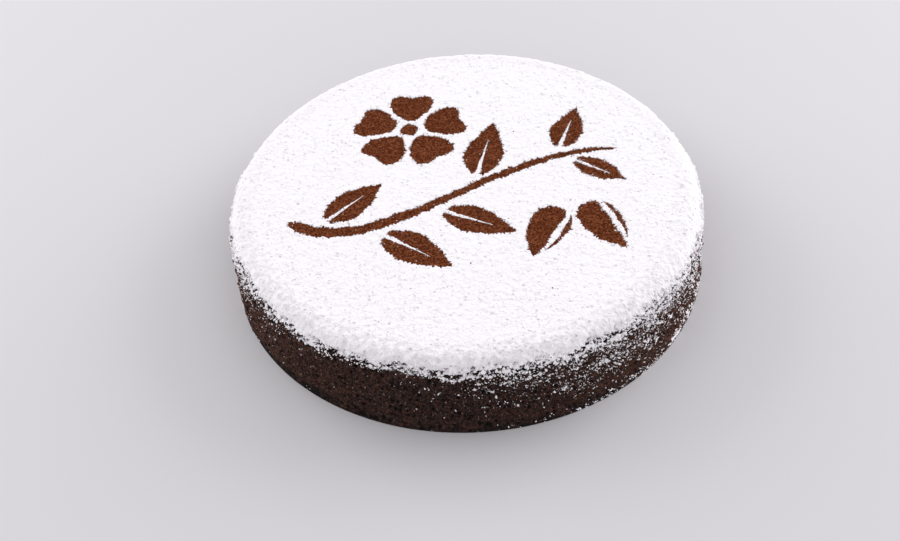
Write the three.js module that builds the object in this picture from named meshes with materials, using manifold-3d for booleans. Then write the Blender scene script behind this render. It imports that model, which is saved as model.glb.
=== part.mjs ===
// Torta caprese: a round, flourless chocolate and almond cake, turned out whole, with a crumbly dark wall,
// a rounded top edge and a small foot. Icing sugar covers the top and the rounded edge, and a cocoa stencil
// lies in windows of the sugar: a leafy almond sprig, a blossom and two almonds.
// Millimetres, +Z up. The origin is the centre of the base, and -Y is the front.

import * as THREE from "three";
import { mergeVertices } from "three/addons/utils/BufferGeometryUtils.js";
import Module from "manifold-3d";

// Driving dimensions.
const cakeDiameter = 220; // over the wall
const cakeHeight = 40; // from the base to the top of the sugar
const shoulderRadius = 11; // of the rounded top edge, over the sugar
const sugarThickness = 1;
const cocoaSunk = 0.2; // how far the cocoa lies below the sugar's top
const restingGap = 0.3; // between a topping and what it lies on

// Mesh divisions.
const turns = 160; // round the cake
const wallSteps = 9;
const shoulderSteps = 5;
const outlineStep = 2.5; // between the points of a stencil outline

// The crumb: its wall and its foot.
const wallRadius = cakeDiameter / 2 - sugarThickness;
const crumbTop = cakeHeight - sugarThickness - restingGap;
const crumbShoulder = shoulderRadius - sugarThickness - restingGap;
const shoulderStart = crumbTop - crumbShoulder; // the height where the wall turns into the shoulder
const wallDraft = 0.8; // how far the wall leans in, from the foot to the shoulder
const footHeight = 3.2; // where the foot has run out into the wall
const footWidth = { least: 0.5, most: 1.9 };
const lowerSide = -0.75; // radians from +X: the foot is widest at the front right, and the sugar runs lowest
const baseRounding = 1.4; // how far the flat base stops short of the foot
const baseLip = 0.7; // the height of the lowest ring of the wall

// Relief. A layer has so many cells in a turn, each so high, and stands out and in by its depth.
const crags = { cells: 76, rise: 9, depth: 0.8, seed: 1 };
const crumbs = { cells: turns, rise: 3.1, depth: 0.85, seed: 2 };
const sugarLumps = { cells: 91, rise: 0.5, depth: 0.25, seed: 8 };
const hemWaves = { cells: 23, rise: 1, depth: 6, seed: 5 };
const hemTeeth = { cells: 91, rise: 1, depth: 11, seed: 6 };

// The hem is the sugar's ragged lower edge, in degrees round the shoulder from the top.
const hemAngle = 64;
const hemDrop = 6; // how much further the hem runs on the lower side
const hemThickness = 0.45; // of the sugar at its hem

// The cocoa stencil, in a plane of its own: its middle on the cake, its turn and its details.
const stencilMiddle = new THREE.Vector2(6, 5);
const stencilTurn = THREE.MathUtils.degToRad(-4);
const stencilClearance = 0.3; // between a cocoa piece and the sugar round it
const leafFullness = 0.8; // below 1, a leaf is widest nearer its foot
const leafFoot = 0.07; // the share of a leaf's length that its blunt foot cuts off
const slitWidth = 2; // of a leaf's slit, at its foot
const slitReach = 0.62; // of a slit, as a share of its leaf's length
const petalFlare = 0.3; // how much wider a petal is towards its tip
const petalNotch = { depth: 0.17, spread: 0.5 }; // a share of the petal's length, and radians from its tip
const almondTaper = { fullness: 1.12, sharpness: 0.8 };
const kernelShare = 0.42; // of an almond's half width, out to the hollow side of its kernel
const rimShares = { ends: 0.93, middle: 0.68 }; // of an almond's half width, in to the hollow side of its rim
const rimSpan = { from: 0.25, to: 0.8 }; // in half turns round an almond from its point
const strokeEnds = 0.35; // the width of a stroke's ends, as a share of the stroke's

const TAU = 2 * Math.PI;

// ---- noise ----

// A fixed number from 0 to 1 for each corner of a square lattice.
function latticeValue(i, j, seed) {
  const s = Math.sin(i * 127.1 + j * 311.7 + seed * 74.7) * 43758.5453;
  return s - Math.floor(s);
}

// Smooth noise from -1 to 1. It repeats after one turn, which holds this many cells.
function lumps(turn, across, cells, seed) {
  const u = turn * cells;
  const i = Math.floor(u);
  const j = Math.floor(across);
  const ease = (x) => x * x * (3 - 2 * x);
  const fu = ease(u - i);
  const fv = ease(across - j);
  const wrap = (k) => ((k % cells) + cells) % cells;
  const value = (a, b) => latticeValue(wrap(i + a), j + b, seed);
  const low = THREE.MathUtils.lerp(value(0, 0), value(1, 0), fu);
  const high = THREE.MathUtils.lerp(value(0, 1), value(1, 1), fu);
  return 2 * THREE.MathUtils.lerp(low, high, fv) - 1;
}

// How far a layer of relief stands out at a turn and a distance up the wall.
function relief(layer, turn, up) {
  return layer.depth * lumps(turn, up / layer.rise, layer.cells, layer.seed);
}

// From 0 to 1, how much a turn faces the lower side.
function towardsLowerSide(turn) {
  return 0.5 + 0.5 * Math.cos(turn * TAU - lowerSide);
}

// ---- the crumb ----

// The crumb's wall at a height, with its foot and its relief. The relief fades in above the base, and the finer
// layer is set inwards by half its depth.
function wallPoint(turn, z) {
  const width = THREE.MathUtils.lerp(footWidth.least, footWidth.most, towardsLowerSide(turn) ** 3);
  const foot = width * Math.exp(-((z / footHeight) ** 2));
  const fade = THREE.MathUtils.smoothstep(z, 0, footHeight);
  const rough = relief(crags, turn, z) + relief(crumbs, turn, z) - crumbs.depth / 2;
  const lean = (wallDraft * z) / shoulderStart;
  return [wallRadius - lean + foot + fade * rough, z];
}

// The crumb's rounded edge. The angle runs from 0 at the top to a quarter turn at the wall, and the point
// stands `out` off the crumb. The crags carry on from the wall and fade out towards the flat top.
function shoulderPoint(turn, angle, out = 0) {
  const fade = THREE.MathUtils.smoothstep(angle, Math.PI / 9, Math.PI / 2);
  const up = shoulderStart + crumbShoulder * (Math.PI / 2 - angle);
  const r = crumbShoulder + out + fade * relief(crags, turn, up);
  const middle = wallRadius - wallDraft - crumbShoulder;
  return [middle + r * Math.sin(angle), shoulderStart + r * Math.cos(angle)];
}

// Closes a stack of rings into a solid. Each ring is a function of the turn, from the bottom of the stack to
// its top, and the two ends close on the axis at the heights given.
function ringsToGeometry(rings, bottomZ, topZ) {
  const position = [];
  const index = [];
  for (const ring of rings) {
    for (let i = 0; i < turns; i++) {
      const [r, z] = ring(i / turns);
      const a = (i / turns) * TAU;
      position.push(r * Math.cos(a), r * Math.sin(a), z);
    }
  }
  const bottom = rings.length * turns;
  const top = bottom + 1;
  position.push(0, 0, bottomZ, 0, 0, topZ);
  for (let i = 0; i < turns; i++) {
    const next = (i + 1) % turns;
    for (let k = 0; k + 1 < rings.length; k++) {
      const a = k * turns + i;
      const b = k * turns + next;
      const c = a + turns;
      const d = b + turns;
      // The diagonal alternates, so that the facets have no grain of their own.
      if ((i + k) % 2) index.push(a, b, d, a, d, c);
      else index.push(a, b, c, b, d, c);
    }
    const last = (rings.length - 1) * turns;
    index.push(bottom, next, i, top, last + i, last + next);
  }
  const geometry = new THREE.BufferGeometry();
  geometry.setAttribute("position", new THREE.Float32BufferAttribute(position, 3));
  geometry.setIndex(index);
  geometry.computeVertexNormals();
  return geometry;
}

function crumbGeometry() {
  const rings = [(turn) => [wallPoint(turn, 0)[0] - baseRounding, 0]];
  for (let k = 0; k <= wallSteps; k++) {
    const z = THREE.MathUtils.lerp(baseLip, shoulderStart, k / wallSteps);
    rings.push((turn) => wallPoint(turn, z));
  }
  for (let k = 1; k <= shoulderSteps; k++) {
    const angle = (Math.PI / 2) * (1 - k / shoulderSteps);
    rings.push((turn) => shoulderPoint(turn, angle));
  }
  return ringsToGeometry(rings, 0, crumbTop);
}

// ---- the sugar ----

// Where the hem lies at a turn, in radians round the shoulder.
function hemAt(turn) {
  const ragged = relief(hemWaves, turn, 0) + relief(hemTeeth, turn, 0);
  return THREE.MathUtils.degToRad(hemAngle + hemDrop * towardsLowerSide(turn) + ragged);
}

// The sugar's underside, at a share of the way from the flat top to the hem.
function sugarInner(turn, share) {
  return shoulderPoint(turn, share * hemAt(turn), restingGap);
}

// The sugar's outer face, which thins and grows lumpier towards the hem.
function sugarOuter(turn, share) {
  const thick = THREE.MathUtils.lerp(sugarThickness, hemThickness, share ** 3);
  const lump = share * relief(sugarLumps, turn, share);
  return shoulderPoint(turn, share * hemAt(turn), restingGap + thick + lump);
}

function sugarGeometry() {
  const shares = Array.from({ length: shoulderSteps + 1 }, (_, k) => k / shoulderSteps);
  const inner = shares.map((share) => (turn) => sugarInner(turn, share));
  const outer = shares.map((share) => (turn) => sugarOuter(turn, share));
  return ringsToGeometry([...inner, ...outer.reverse()], crumbTop + restingGap, cakeHeight);
}

// ---- the cocoa stencil ----

// Points along a function of 0 to 1, about one outlineStep apart over the length given.
function along(length, point) {
  const steps = Math.max(3, Math.round(length / outlineStep));
  return Array.from({ length: steps + 1 }, (_, k) => point(k / steps));
}

// Every outline below takes `grow`, which widens it all round, and narrows its slits by as much.

// A pointed leaf with a slit along its midrib, from its foot at 0,0 towards +X.
function leafOutline(length, width, grow) {
  const half = (t) => (width / 2) * Math.sin(Math.PI * t ** leafFullness) + grow;
  const x = (t) => t * (length + 2 * grow) - grow;
  const share = (t) => THREE.MathUtils.lerp(1, leafFoot, t);
  const upper = along(length, (t) => [x(share(t)), t === 0 ? 0 : half(share(t))]);
  const lower = upper.slice(1).reverse().map(([px, py]) => [px, -py]);
  const slitHalf = slitWidth / 2 - grow;
  const slitEnd = x(leafFoot) + (slitReach * length * slitHalf) / (slitWidth / 2);
  return [...upper, [x(leafFoot), slitHalf], [slitEnd, 0], [x(leafFoot), -slitHalf], ...lower];
}

// Half of an almond's width at an angle round it, from its point at 0 to its round foot at half a turn.
function almondHalf(width, angle) {
  const { fullness, sharpness } = almondTaper;
  return (width / 2) * fullness * Math.sin(angle) * Math.sin(angle / 2) ** sharpness;
}

// An almond's kernel: round at its foot at 0,0, pointed towards +X, and hollowed along one side for its rim.
function kernelOutline(length, width, grow) {
  const x = (angle) => length / 2 + (length / 2 + grow) * Math.cos(angle);
  const hollow = (angle) => THREE.MathUtils.lerp(1, kernelShare, Math.sin(angle));
  const hollowSide = along(length, (t) => {
    const angle = t * Math.PI;
    return [x(angle), hollow(angle) * almondHalf(width, angle) + grow * Math.sin(angle)];
  });
  const fullSide = along(length, (t) => {
    const angle = (1 - t) * Math.PI;
    return [x(angle), -almondHalf(width, angle) - grow * Math.sin(angle)];
  });
  return [...hollowSide, ...fullSide.slice(1, -1)];
}

// The rim of an almond: a crescent along the kernel's hollow side.
function rimOutline(length, width, grow) {
  const angle = (t) => Math.PI * THREE.MathUtils.lerp(rimSpan.from, rimSpan.to, t);
  const x = (t) => length / 2 + (length / 2) * Math.cos(angle(t)) + grow * (1 - 2 * t);
  const inner = (t) => THREE.MathUtils.lerp(rimShares.ends, rimShares.middle, Math.sin(Math.PI * t));
  const outerSide = along(length, (t) => [x(t), almondHalf(width, angle(t)) + grow]);
  const innerSide = along(length, (t) => [x(t), inner(t) * almondHalf(width, angle(t)) - grow]);
  return [...outerSide, ...innerSide.reverse()];
}

// A petal that widens outwards from 0,0 along +X, with a notch in its tip.
function petalOutline(length, width, grow) {
  const points = along(Math.PI * (length + width) * 0.5, (t) => {
    const angle = t * TAU;
    const fromTip = Math.min(angle, TAU - angle);
    const dip = petalNotch.depth * length * Math.exp(-((fromTip / petalNotch.spread) ** 2));
    const x = length / 2 + (length / 2 + grow) * Math.cos(angle) - dip;
    return [x, (width / 2 + grow) * Math.sin(angle) * (1 + petalFlare * Math.cos(angle))];
  });
  return points.slice(1);
}

// A round dot about 0,0.
function dotOutline(radius, grow) {
  const points = along(TAU * radius, (t) => {
    const angle = t * TAU;
    return [(radius + grow) * Math.cos(angle), (radius + grow) * Math.sin(angle)];
  });
  return points.slice(1);
}

// A brush stroke along a curve, tapering from its foot to its tip, with narrow round ends.
function strokeOutline(curve, width, grow) {
  const side = (sign) =>
    along(curve.getLength(), (t) => {
      const point = curve.getPoint(t);
      const run = curve.getTangent(t);
      const ends = (2 * t - 1) ** 9;
      const share = THREE.MathUtils.lerp(1, strokeEnds, ends ** 2);
      const half = (THREE.MathUtils.lerp(width.foot, width.tip, t) / 2) * share + grow;
      const normal = new THREE.Vector2(run.y, -run.x);
      point.addScaledVector(run, grow * ends).addScaledVector(normal, sign * half);
      return [point.x, point.y];
    });
  return [...side(1), ...side(-1).reverse()];
}

// Turns and moves an outline in the stencil's plane.
function placed(outline, x, y, angle) {
  const c = Math.cos(angle);
  const s = Math.sin(angle);
  return outline.map(([px, py]) => [x + px * c - py * s, y + px * s + py * c]);
}

const stemCurve = new THREE.CubicBezierCurve(
  new THREE.Vector2(-84, -28),
  new THREE.Vector2(-38, -56),
  new THREE.Vector2(2, 20),
  new THREE.Vector2(66, 20),
);
const stemWidth = { foot: 7, tip: 3.2 };

// The leaves along the stem: where on the stem, on which side, at what angle to it, and how large.
const leafSet = [
  { at: 0.08, side: 1, lean: 62, length: 36, width: 17 },
  { at: 0.27, side: -1, lean: 52, length: 40, width: 18 },
  { at: 0.46, side: -1, lean: 56, length: 38, width: 17 },
  { at: 0.6, side: 1, lean: 46, length: 41, width: 18.5 },
  { at: 0.84, side: 1, lean: 54, length: 33, width: 15.5 },
  { at: 0.86, side: -1, lean: 50, length: 29, width: 13.5 },
];
const leafStandoff = 3.4; // from the stem's edge to a leaf's foot

const blossom = { x: -33, y: 37, petals: 5, hole: 6.8, petalLength: 22.5, petalWidth: 20.8, eye: 4.4 };
const almonds = [
  { x: 38, y: -20, angle: -112, length: 34, width: 21 },
  { x: 50, y: -17, angle: -62, length: 34, width: 21 },
];

// Every cocoa piece as a name and an outline that can grow.
function stencilPieces() {
  const deg = THREE.MathUtils.degToRad;
  const pieces = [];
  const add = (name, outline) => pieces.push({ name, outline });
  add("cocoa_stem", (grow) => strokeOutline(stemCurve, stemWidth, grow));

  leafSet.forEach((leaf, k) => {
    const foot = stemCurve.getPoint(leaf.at);
    const run = stemCurve.getTangent(leaf.at);
    const angle = Math.atan2(run.y, run.x) + leaf.side * deg(leaf.lean);
    const standoff = leafStandoff + THREE.MathUtils.lerp(stemWidth.foot, stemWidth.tip, leaf.at) / 2;
    const x = foot.x + standoff * Math.cos(angle);
    const y = foot.y + standoff * Math.sin(angle);
    add(`cocoa_leaf_${k + 1}`, (grow) =>
      placed(leafOutline(leaf.length, leaf.width, grow), x, y, angle),
    );
  });

  for (let k = 0; k < blossom.petals; k++) {
    const angle = deg(90) + (k / blossom.petals) * TAU;
    const x = blossom.x + blossom.hole * Math.cos(angle);
    const y = blossom.y + blossom.hole * Math.sin(angle);
    add(`cocoa_petal_${k + 1}`, (grow) =>
      placed(petalOutline(blossom.petalLength, blossom.petalWidth, grow), x, y, angle),
    );
  }
  add("cocoa_eye", (grow) => placed(dotOutline(blossom.eye, grow), blossom.x, blossom.y, 0));

  almonds.forEach((almond, k) => {
    const { x, y, length, width } = almond;
    const angle = deg(almond.angle);
    add(`cocoa_kernel_${k + 1}`, (grow) => placed(kernelOutline(length, width, grow), x, y, angle));
    add(`cocoa_rim_${k + 1}`, (grow) => placed(rimOutline(length, width, grow), x, y, angle));
  });
  return pieces;
}

// An upright prism over an outline of the stencil, between two heights on the cake.
function stencilPrism(outline, bottomZ, topZ) {
  const shape = new THREE.Shape(outline.map(([x, y]) => new THREE.Vector2(x, y)));
  const geometry = new THREE.ExtrudeGeometry(shape, { depth: topZ - bottomZ, bevelEnabled: false });
  geometry.rotateZ(stencilTurn);
  geometry.translate(stencilMiddle.x, stencilMiddle.y, bottomZ);
  return geometry;
}

// ---- joining and cutting ----

const wasm = await Module();
wasm.setup();

function toSolid(geometry) {
  const bare = geometry.clone();
  bare.deleteAttribute("normal");
  bare.deleteAttribute("uv");
  const merged = mergeVertices(bare, 1e-4);
  const vertProperties = new Float32Array(merged.attributes.position.array);
  const triVerts = new Uint32Array(merged.index.array);
  return new wasm.Manifold(new wasm.Mesh({ numProp: 3, vertProperties, triVerts }));
}

function toGeometry(solid) {
  const mesh = solid.getMesh();
  const geometry = new THREE.BufferGeometry();
  geometry.setAttribute("position", new THREE.BufferAttribute(mesh.vertProperties, 3));
  geometry.setIndex(new THREE.BufferAttribute(mesh.triVerts, 1));
  geometry.computeVertexNormals();
  return geometry;
}

// The sugar skin with a window for each cocoa piece.
function windowedSugar(pieces) {
  let skin = toSolid(sugarGeometry());
  for (const piece of pieces) {
    const cutter = stencilPrism(piece.outline(stencilClearance), crumbTop, cakeHeight + 1);
    skin = skin.subtract(toSolid(cutter));
  }
  return toGeometry(skin);
}

// ---- materials and the cake ----

const crumb = new THREE.MeshStandardMaterial({ color: 0x2a1f1d, roughness: 0.85, metalness: 0 });
const sugar = new THREE.MeshStandardMaterial({ color: 0xfaf8fb, roughness: 0.95, metalness: 0 });
const cocoa = new THREE.MeshStandardMaterial({ color: 0x643420, roughness: 0.95, metalness: 0 });

const cake = new THREE.Group();

function addMesh(name, geometry, material) {
  const mesh = new THREE.Mesh(geometry, material);
  mesh.name = name;
  cake.add(mesh);
}

const pieces = stencilPieces();
addMesh("cake_crumb", crumbGeometry(), crumb);
addMesh("icing_sugar", windowedSugar(pieces), sugar);
for (const piece of pieces) {
  const prism = stencilPrism(piece.outline(0), crumbTop + restingGap, cakeHeight - cocoaSunk);
  addMesh(piece.name, prism, cocoa);
}

export default cake;
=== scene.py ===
"""A torta caprese: a dark, crumbly almond and chocolate cake under icing sugar, with a cocoa stencil on top.

Shapes are worked out in millimetres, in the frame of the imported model, and stored in metres. A spot on the
cake's skin has a turn, from 0 to 1 counted from +X, and a distance up the profile from the base.
"""

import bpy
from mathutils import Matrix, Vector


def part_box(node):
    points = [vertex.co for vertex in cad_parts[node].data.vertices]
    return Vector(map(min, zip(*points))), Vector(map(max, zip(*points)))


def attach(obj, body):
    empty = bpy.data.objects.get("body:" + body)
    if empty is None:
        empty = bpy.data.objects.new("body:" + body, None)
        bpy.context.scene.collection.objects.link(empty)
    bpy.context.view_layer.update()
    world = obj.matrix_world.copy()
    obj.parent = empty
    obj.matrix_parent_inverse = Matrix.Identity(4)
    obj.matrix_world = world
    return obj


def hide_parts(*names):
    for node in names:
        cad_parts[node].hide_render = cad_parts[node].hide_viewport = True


bl_info = {
    "name": "Torta caprese",
    "version": (1, 0, 0),
    "blender": (4, 5, 0),
    "location": "3D View > Sidebar > Cake",
    "description": "Builds a dusted and stencilled chocolate cake",
    "category": "Add Mesh",
}

import math
from collections import namedtuple
from itertools import product

import bpy
import numpy as np
from bpy.props import FloatProperty, FloatVectorProperty, IntProperty, PointerProperty
from mathutils import Matrix, Vector

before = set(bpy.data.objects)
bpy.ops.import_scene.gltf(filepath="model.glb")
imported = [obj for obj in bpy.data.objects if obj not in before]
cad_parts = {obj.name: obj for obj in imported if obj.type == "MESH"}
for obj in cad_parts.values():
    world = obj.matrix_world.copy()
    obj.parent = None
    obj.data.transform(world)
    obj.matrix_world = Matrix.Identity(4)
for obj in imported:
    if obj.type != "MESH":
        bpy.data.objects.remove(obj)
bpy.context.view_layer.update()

MM = 0.001
TURN = 2 * np.pi
BODY = "root"
CAKE_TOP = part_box("icing_sugar")[1][2]
COCOA_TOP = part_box("cocoa_stem")[1][2]
POWDER_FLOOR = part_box("cocoa_stem")[0][2]
CRUMB_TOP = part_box("cake_crumb")[1][2]

# A layer of relief has so many cells in a turn, each so high in mm, and stands out and in by its depth in mm.
Layer = namedtuple("Layer", "cells rise depth seed")
CRAGS = Layer(76, 9.0, 0.8, 1)
CRUMBS = Layer(160, 3.1, 0.85, 2)
NUGGETS = Layer(380, 1.75, 1.05, 11)
NIBS = Layer(700, 0.95, 0.4, 12)
PITS = Layer(250, 2.7, 1.3, 13)
SHOULDER_SWELLS = (Layer(150, 4.5, 0.16, 51), Layer(330, 2.1, 0.2, 52), Layer(600, 1.1, 0.14, 53))

# Layers that move the smooth band's top, the hem, the loose sugar, the foot's dashes and the hem's crack
# about.
BAND_WAVER = Layer(14, 1.0, 2.5, 41)
HEM_WAVERS = (Layer(24, 1.0, 1.3, 43), Layer(90, 1.0, 1.1, 44))
PATCHES = (Layer(26, 11.0, 1.0, 46), Layer(64, 6.0, 0.6, 47))
SPECKLES = (Layer(125, 1.3, 1.1, 45), Layer(330, 1.0, 1.2, 49))
DASHES = Layer(300, 1.0, 1.0, 48)
CRACK_WAVER = Layer(130, 1.0, 0.9, 61)
CRACK_STRETCHES = Layer(70, 1.0, 1.0, 62)
LIP_STRETCHES = Layer(110, 1.0, 1.0, 63)

# Soft unevenness of the sugar's flat top and of the cocoa: cell sizes and depths in mm, and seeds.
TOP_SWELLS = ((26.0, 0.16, 21), (7.0, 0.09, 22), (2.6, 0.09, 23), (1.5, 0.08, 24))
COCOA_SWELLS = ((5.0, 0.1, 31), (1.7, 0.12, 32), (0.9, 0.1, 33))

# The wall by bearing in degrees from +X, with the front at -90: how much sugar it caught, the share that
# sugar covers near the base, the hem's height above the shoulder's start in mm, and the painted shadow at the
# base.
Wall = namedtuple("Wall", "bearing dust low_share hem damp")
WALL = Wall(
    *zip(
        (-180, 0.50, 0.024, 4.4, 0.3),
        (-165, 0.38, 0.014, 4.5, 0.52),
        (-150, 0.15, 0.002, 4.9, 0.58),
        (-135, 0.06, 0.0, 6.2, 0.52),
        (-120, 0.01, 0.0, 6.0, 0.36),
        (-105, 0.02, 0.0, 5.1, 0.25),
        (-95, 0.10, 0.001, 5.1, 0.26),
        (-85, 0.17, 0.002, 5.3, 0.33),
        (-72, 0.21, 0.006, 5.8, 0.38),
        (-60, 0.41, 0.06, 5.1, 0.38),
        (-45, 0.51, 0.075, 5.4, 0.15),
        (-30, 0.58, 0.065, 4.2, 0.0),
        (-20, 0.86, 0.14, 3.8, 0.0),
        (-10, 0.92, 0.22, 3.8, 0.0),
        (15, 1.10, 0.22, 3.5, 0.0),
        (45, 0.70, 0.07, 4.0, 0.0),
        (90, 0.45, 0.026, 4.5, 0.1),
        (180, 0.50, 0.024, 4.4, 0.3),
    )
)

# Bearings where the sugar on the shoulder is thinnest and most painted shade lies, and where the crumb gets
# the least painted light.
THIN_SHADED_SIDE = math.radians(-105)
LEAST_LIT_SIDE = math.radians(-96)


# ---- properties ----


def a_length(name, description, default):
    """A length that the user can change."""
    return FloatProperty(name=name, description=description, default=default, unit="LENGTH")


def an_angle(name, description, default):
    """An angle that the user can change."""
    return FloatProperty(name=name, description=description, default=default, subtype="ANGLE")


def a_count(name, description, default):
    """A number of things that the user can change."""
    return IntProperty(name=name, description=description, default=default, min=0)


def a_colour(name, description, default):
    """A colour that the user can change, as linear values."""
    limits = {"subtype": "COLOR", "min": 0, "max": 1}
    return FloatVectorProperty(name=name, description=description, default=default, **limits)


class CakeShape(bpy.types.PropertyGroup):
    """The cake's main sizes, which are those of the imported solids."""

    diameter: a_length("Diameter", "Across the wall", 0.22)
    height: a_length("Height", "Up to the sugar", CAKE_TOP)
    shoulder: a_length("Shoulder", "Radius of the rounded top edge, over the sugar", 0.011)
    sugar: a_length("Sugar", "Thickness of the sugar on the flat top", 0.001)
    draft: a_length("Draft", "How far the wall leans in towards the top", 0.0008)
    foot_height: a_length("Foot height", "Where the foot has run out into the wall", 0.0032)
    foot_least: a_length("Foot behind", "How far the foot stands out behind", 0.0005)
    foot_most: a_length("Foot in front", "How far the foot stands out at the lower side", 0.0019)
    lower_side: an_angle("Lower side", "Bearing where the foot is widest", -0.75)


class StencilShape(bpy.types.PropertyGroup):
    """The cocoa stencil's place and its ragged edge."""

    middle: FloatVectorProperty(
        name="Middle", description="Middle of the stencil", default=(0.006, 0.005), size=2, unit="LENGTH"
    )
    turn: an_angle("Turn", "Turn of the stencil about the vertical", math.radians(-4))
    step: a_length("Step", "Distance between the points of an outline", 0.0003)
    ragged: a_length("Raggedness", "How far an edge strays from its outline", 0.0011)
    recess: a_length("Recess", "How far the cocoa lies below the sugar", CAKE_TOP - COCOA_TOP)


class DustLook(bpy.types.PropertyGroup):
    """How many grains and crumbs lie on the cake, and their mean sizes."""

    grains: a_count("Grains", "Grains of sugar caught on the wall", 7000)
    grain_size: a_length("Grain size", "Mean size of a grain", 0.0005)
    clumps: a_count("Clumps", "Clumps of sugar along the hem", 1300)
    clump_size: a_length("Clump size", "Mean size of a clump", 0.001)
    crumbs: a_count("Crumbs", "Loose crumbs on the wall", 3200)
    crumb_size: a_length("Crumb size", "Mean size of a crumb", 0.001)
    specks: a_count("Specks", "Dark specks on the sugar", 24)
    edge_grains: a_count("Edge grains", "Stray grains along the stencil", 600)


class Palette(bpy.types.PropertyGroup):
    """Surface colours, as linear values."""

    sugar: a_colour("Sugar", "Icing sugar", (0.945, 0.917, 0.957))
    # Sugar shade is painted shade in the sugar's hollows; it also colours the sugar grains in thin cocoa.
    sugar_shade: a_colour("Sugar shade", "Hollows between grains", (0.78, 0.765, 0.795))
    # Sheer sugar is partly crumb seen through thin sugar and partly painted shade on the front of the
    # shoulder.
    sheer: a_colour("Sheer sugar", "Crumb seen through the thinnest sugar", (0.11, 0.1, 0.105))
    cocoa: a_colour("Cocoa", "Cocoa powder", (0.146, 0.0405, 0.0155))
    # Cocoa, dark is a random darker tone and also painted shade in hollows; Cocoa, light is a painted
    # highlight on raised grains.
    cocoa_dark_and_shade: a_colour("Cocoa, dark", "Hollows in the cocoa", (0.058, 0.0115, 0.0025))
    cocoa_highlight: a_colour("Cocoa, light", "Raised grains of cocoa", (0.275, 0.091, 0.04))
    crumb: a_colour("Crumb", "Baked crumb", (0.049, 0.0262, 0.0218))
    # Crumb, dark is near-black painted shade in pits, creases, holes, undersides and the sugar's gaps.
    crumb_shade: a_colour("Crumb, dark", "Pits in the crumb", (0.004, 0.003, 0.003))
    # Crumb, deep is painted shade between the grains.
    crumb_deep_shade: a_colour("Crumb, deep", "Between the grains of the crumb", (0.012, 0.007, 0.0065))
    crumb_red: a_colour("Crumb, red", "Redder nuggets", (0.125, 0.041, 0.023))
    # Crumb, dry is painted light that lightens and warms the crumb towards the sides.
    crumb_side_lit: a_colour("Crumb, dry", "What lightens the drier crumb", (0.55, 0.2, 0.105))
    # Crumb, pale is bits of almond, and partly painted glints.
    crumb_pale_and_glint: a_colour("Crumb, pale", "Bits of ground almond", (0.3, 0.22, 0.195))


class StageLook(bpy.types.PropertyGroup):
    """The floor, the lights and the camera."""

    floor: a_colour("Floor", "Floor colour", (0.645, 0.63, 0.66))
    lamps: FloatProperty(name="Lamps", description="Strength of the soft lights", default=1.0)
    sky: FloatProperty(name="Sky", description="Brightness of the surroundings", default=0.725)
    focal_length: FloatProperty(
        name="Focal length", description="On a sensor 36 mm wide", default=50.0, unit="CAMERA"
    )
    eye: FloatVectorProperty(
        name="Eye", description="Place of the camera", default=(0.0, -0.43123, 0.42067), unit="LENGTH"
    )
    pan: an_angle("Pan", "Turn to the right of straight ahead", math.radians(-1.23))
    pitch: an_angle("Pitch", "Tilt below the horizon", math.radians(45.21))
    roll: an_angle("Roll", "Lean to the right", math.radians(4.64))


# ---- numbers ----


def lerp(low, high, share):
    """Mix two values by a share from 0 to 1."""
    return low + (high - low) * share


def ramp(low, high, value):
    """Rise smoothly from 0 at low to 1 at high: 3 x squared minus 2 x cubed."""
    x = np.clip((value - low) / (high - low), 0.0, 1.0)
    return x * x * (3 - 2 * x)


def bell(x):
    """Bell curve that is 1 at 0 and 0.37 at 1."""
    return np.exp(-(x**2))


def either(first, second):
    """Share that two covers hide together, where each lies at random on the other."""
    return 1 - (1 - first) * (1 - second)


def probit(share):
    """Threshold below which a normal number falls with this chance: nearly 0.59 of the odds' log."""
    share = np.clip(share, 0.002, 0.998)
    return 0.59 * np.log(share / (1 - share))


def lattice(i, j, seed):
    """Give a fixed number from 0 to 1 for each corner of a square lattice: the fraction of a large sine."""
    s = np.sin(i * 127.1 + j * 311.7 + seed * 74.7) * 43758.5453
    return s - np.floor(s)


def smooth_noise(u, v, seed, wrap=None):
    """Ease between the four lattice numbers round a point, from -1 to 1, repeating after wrap cells."""
    i, j = np.floor(u), np.floor(v)
    across, along = ramp(0, 1, u - i), ramp(0, 1, v - j)
    left, right = (i, i + 1) if wrap is None else (np.mod(i, wrap), np.mod(i + 1, wrap))
    low, high = (lerp(lattice(left, row, seed), lattice(right, row, seed), across) for row in (j, j + 1))
    return 2 * lerp(low, high, along) - 1


def cell_noise(u, v, seed, wrap):
    """Scatter a point in each cell, and give the distances to the nearest two and the nearest's number."""
    i, j = np.floor(u), np.floor(v)
    nearest, second = np.full((2, *np.shape(u)), 9.0)
    own = np.zeros(np.shape(u))
    for di, dj in product((-1, 0, 1), repeat=2):
        cell = (np.mod(i + di, wrap), j + dj)
        du = i + di + 0.1 + 0.8 * lattice(*cell, seed) - u
        dv = j + dj + 0.1 + 0.8 * lattice(*cell, seed + 0.37) - v
        distance = np.hypot(du, dv)
        closer = distance < nearest
        second = np.where(closer, nearest, np.minimum(second, distance))
        own = np.where(closer, lattice(*cell, seed + 0.71), own)
        nearest = np.where(closer, distance, nearest)
    return nearest, second, own


def swell(x, y, layers):
    """Add up smooth noise in the plane, one layer for each cell size."""
    return sum(depth * smooth_noise(x / size + 50, y / size + 50, seed) for size, depth, seed in layers)


def relief(turn, up, *layers):
    """Add up layers of smooth noise that close round the cake."""
    spots = ((layer, turn * layer.cells, up / layer.rise + 0 * turn) for layer in layers)
    return sum(layer.depth * smooth_noise(u, v, layer.seed, layer.cells) for layer, u, v in spots)


def layer_cells(turn, up, layer):
    """Cell noise of one layer that closes round the cake."""
    return cell_noise(turn * layer.cells, up / layer.rise, layer.seed, layer.cells)


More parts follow.
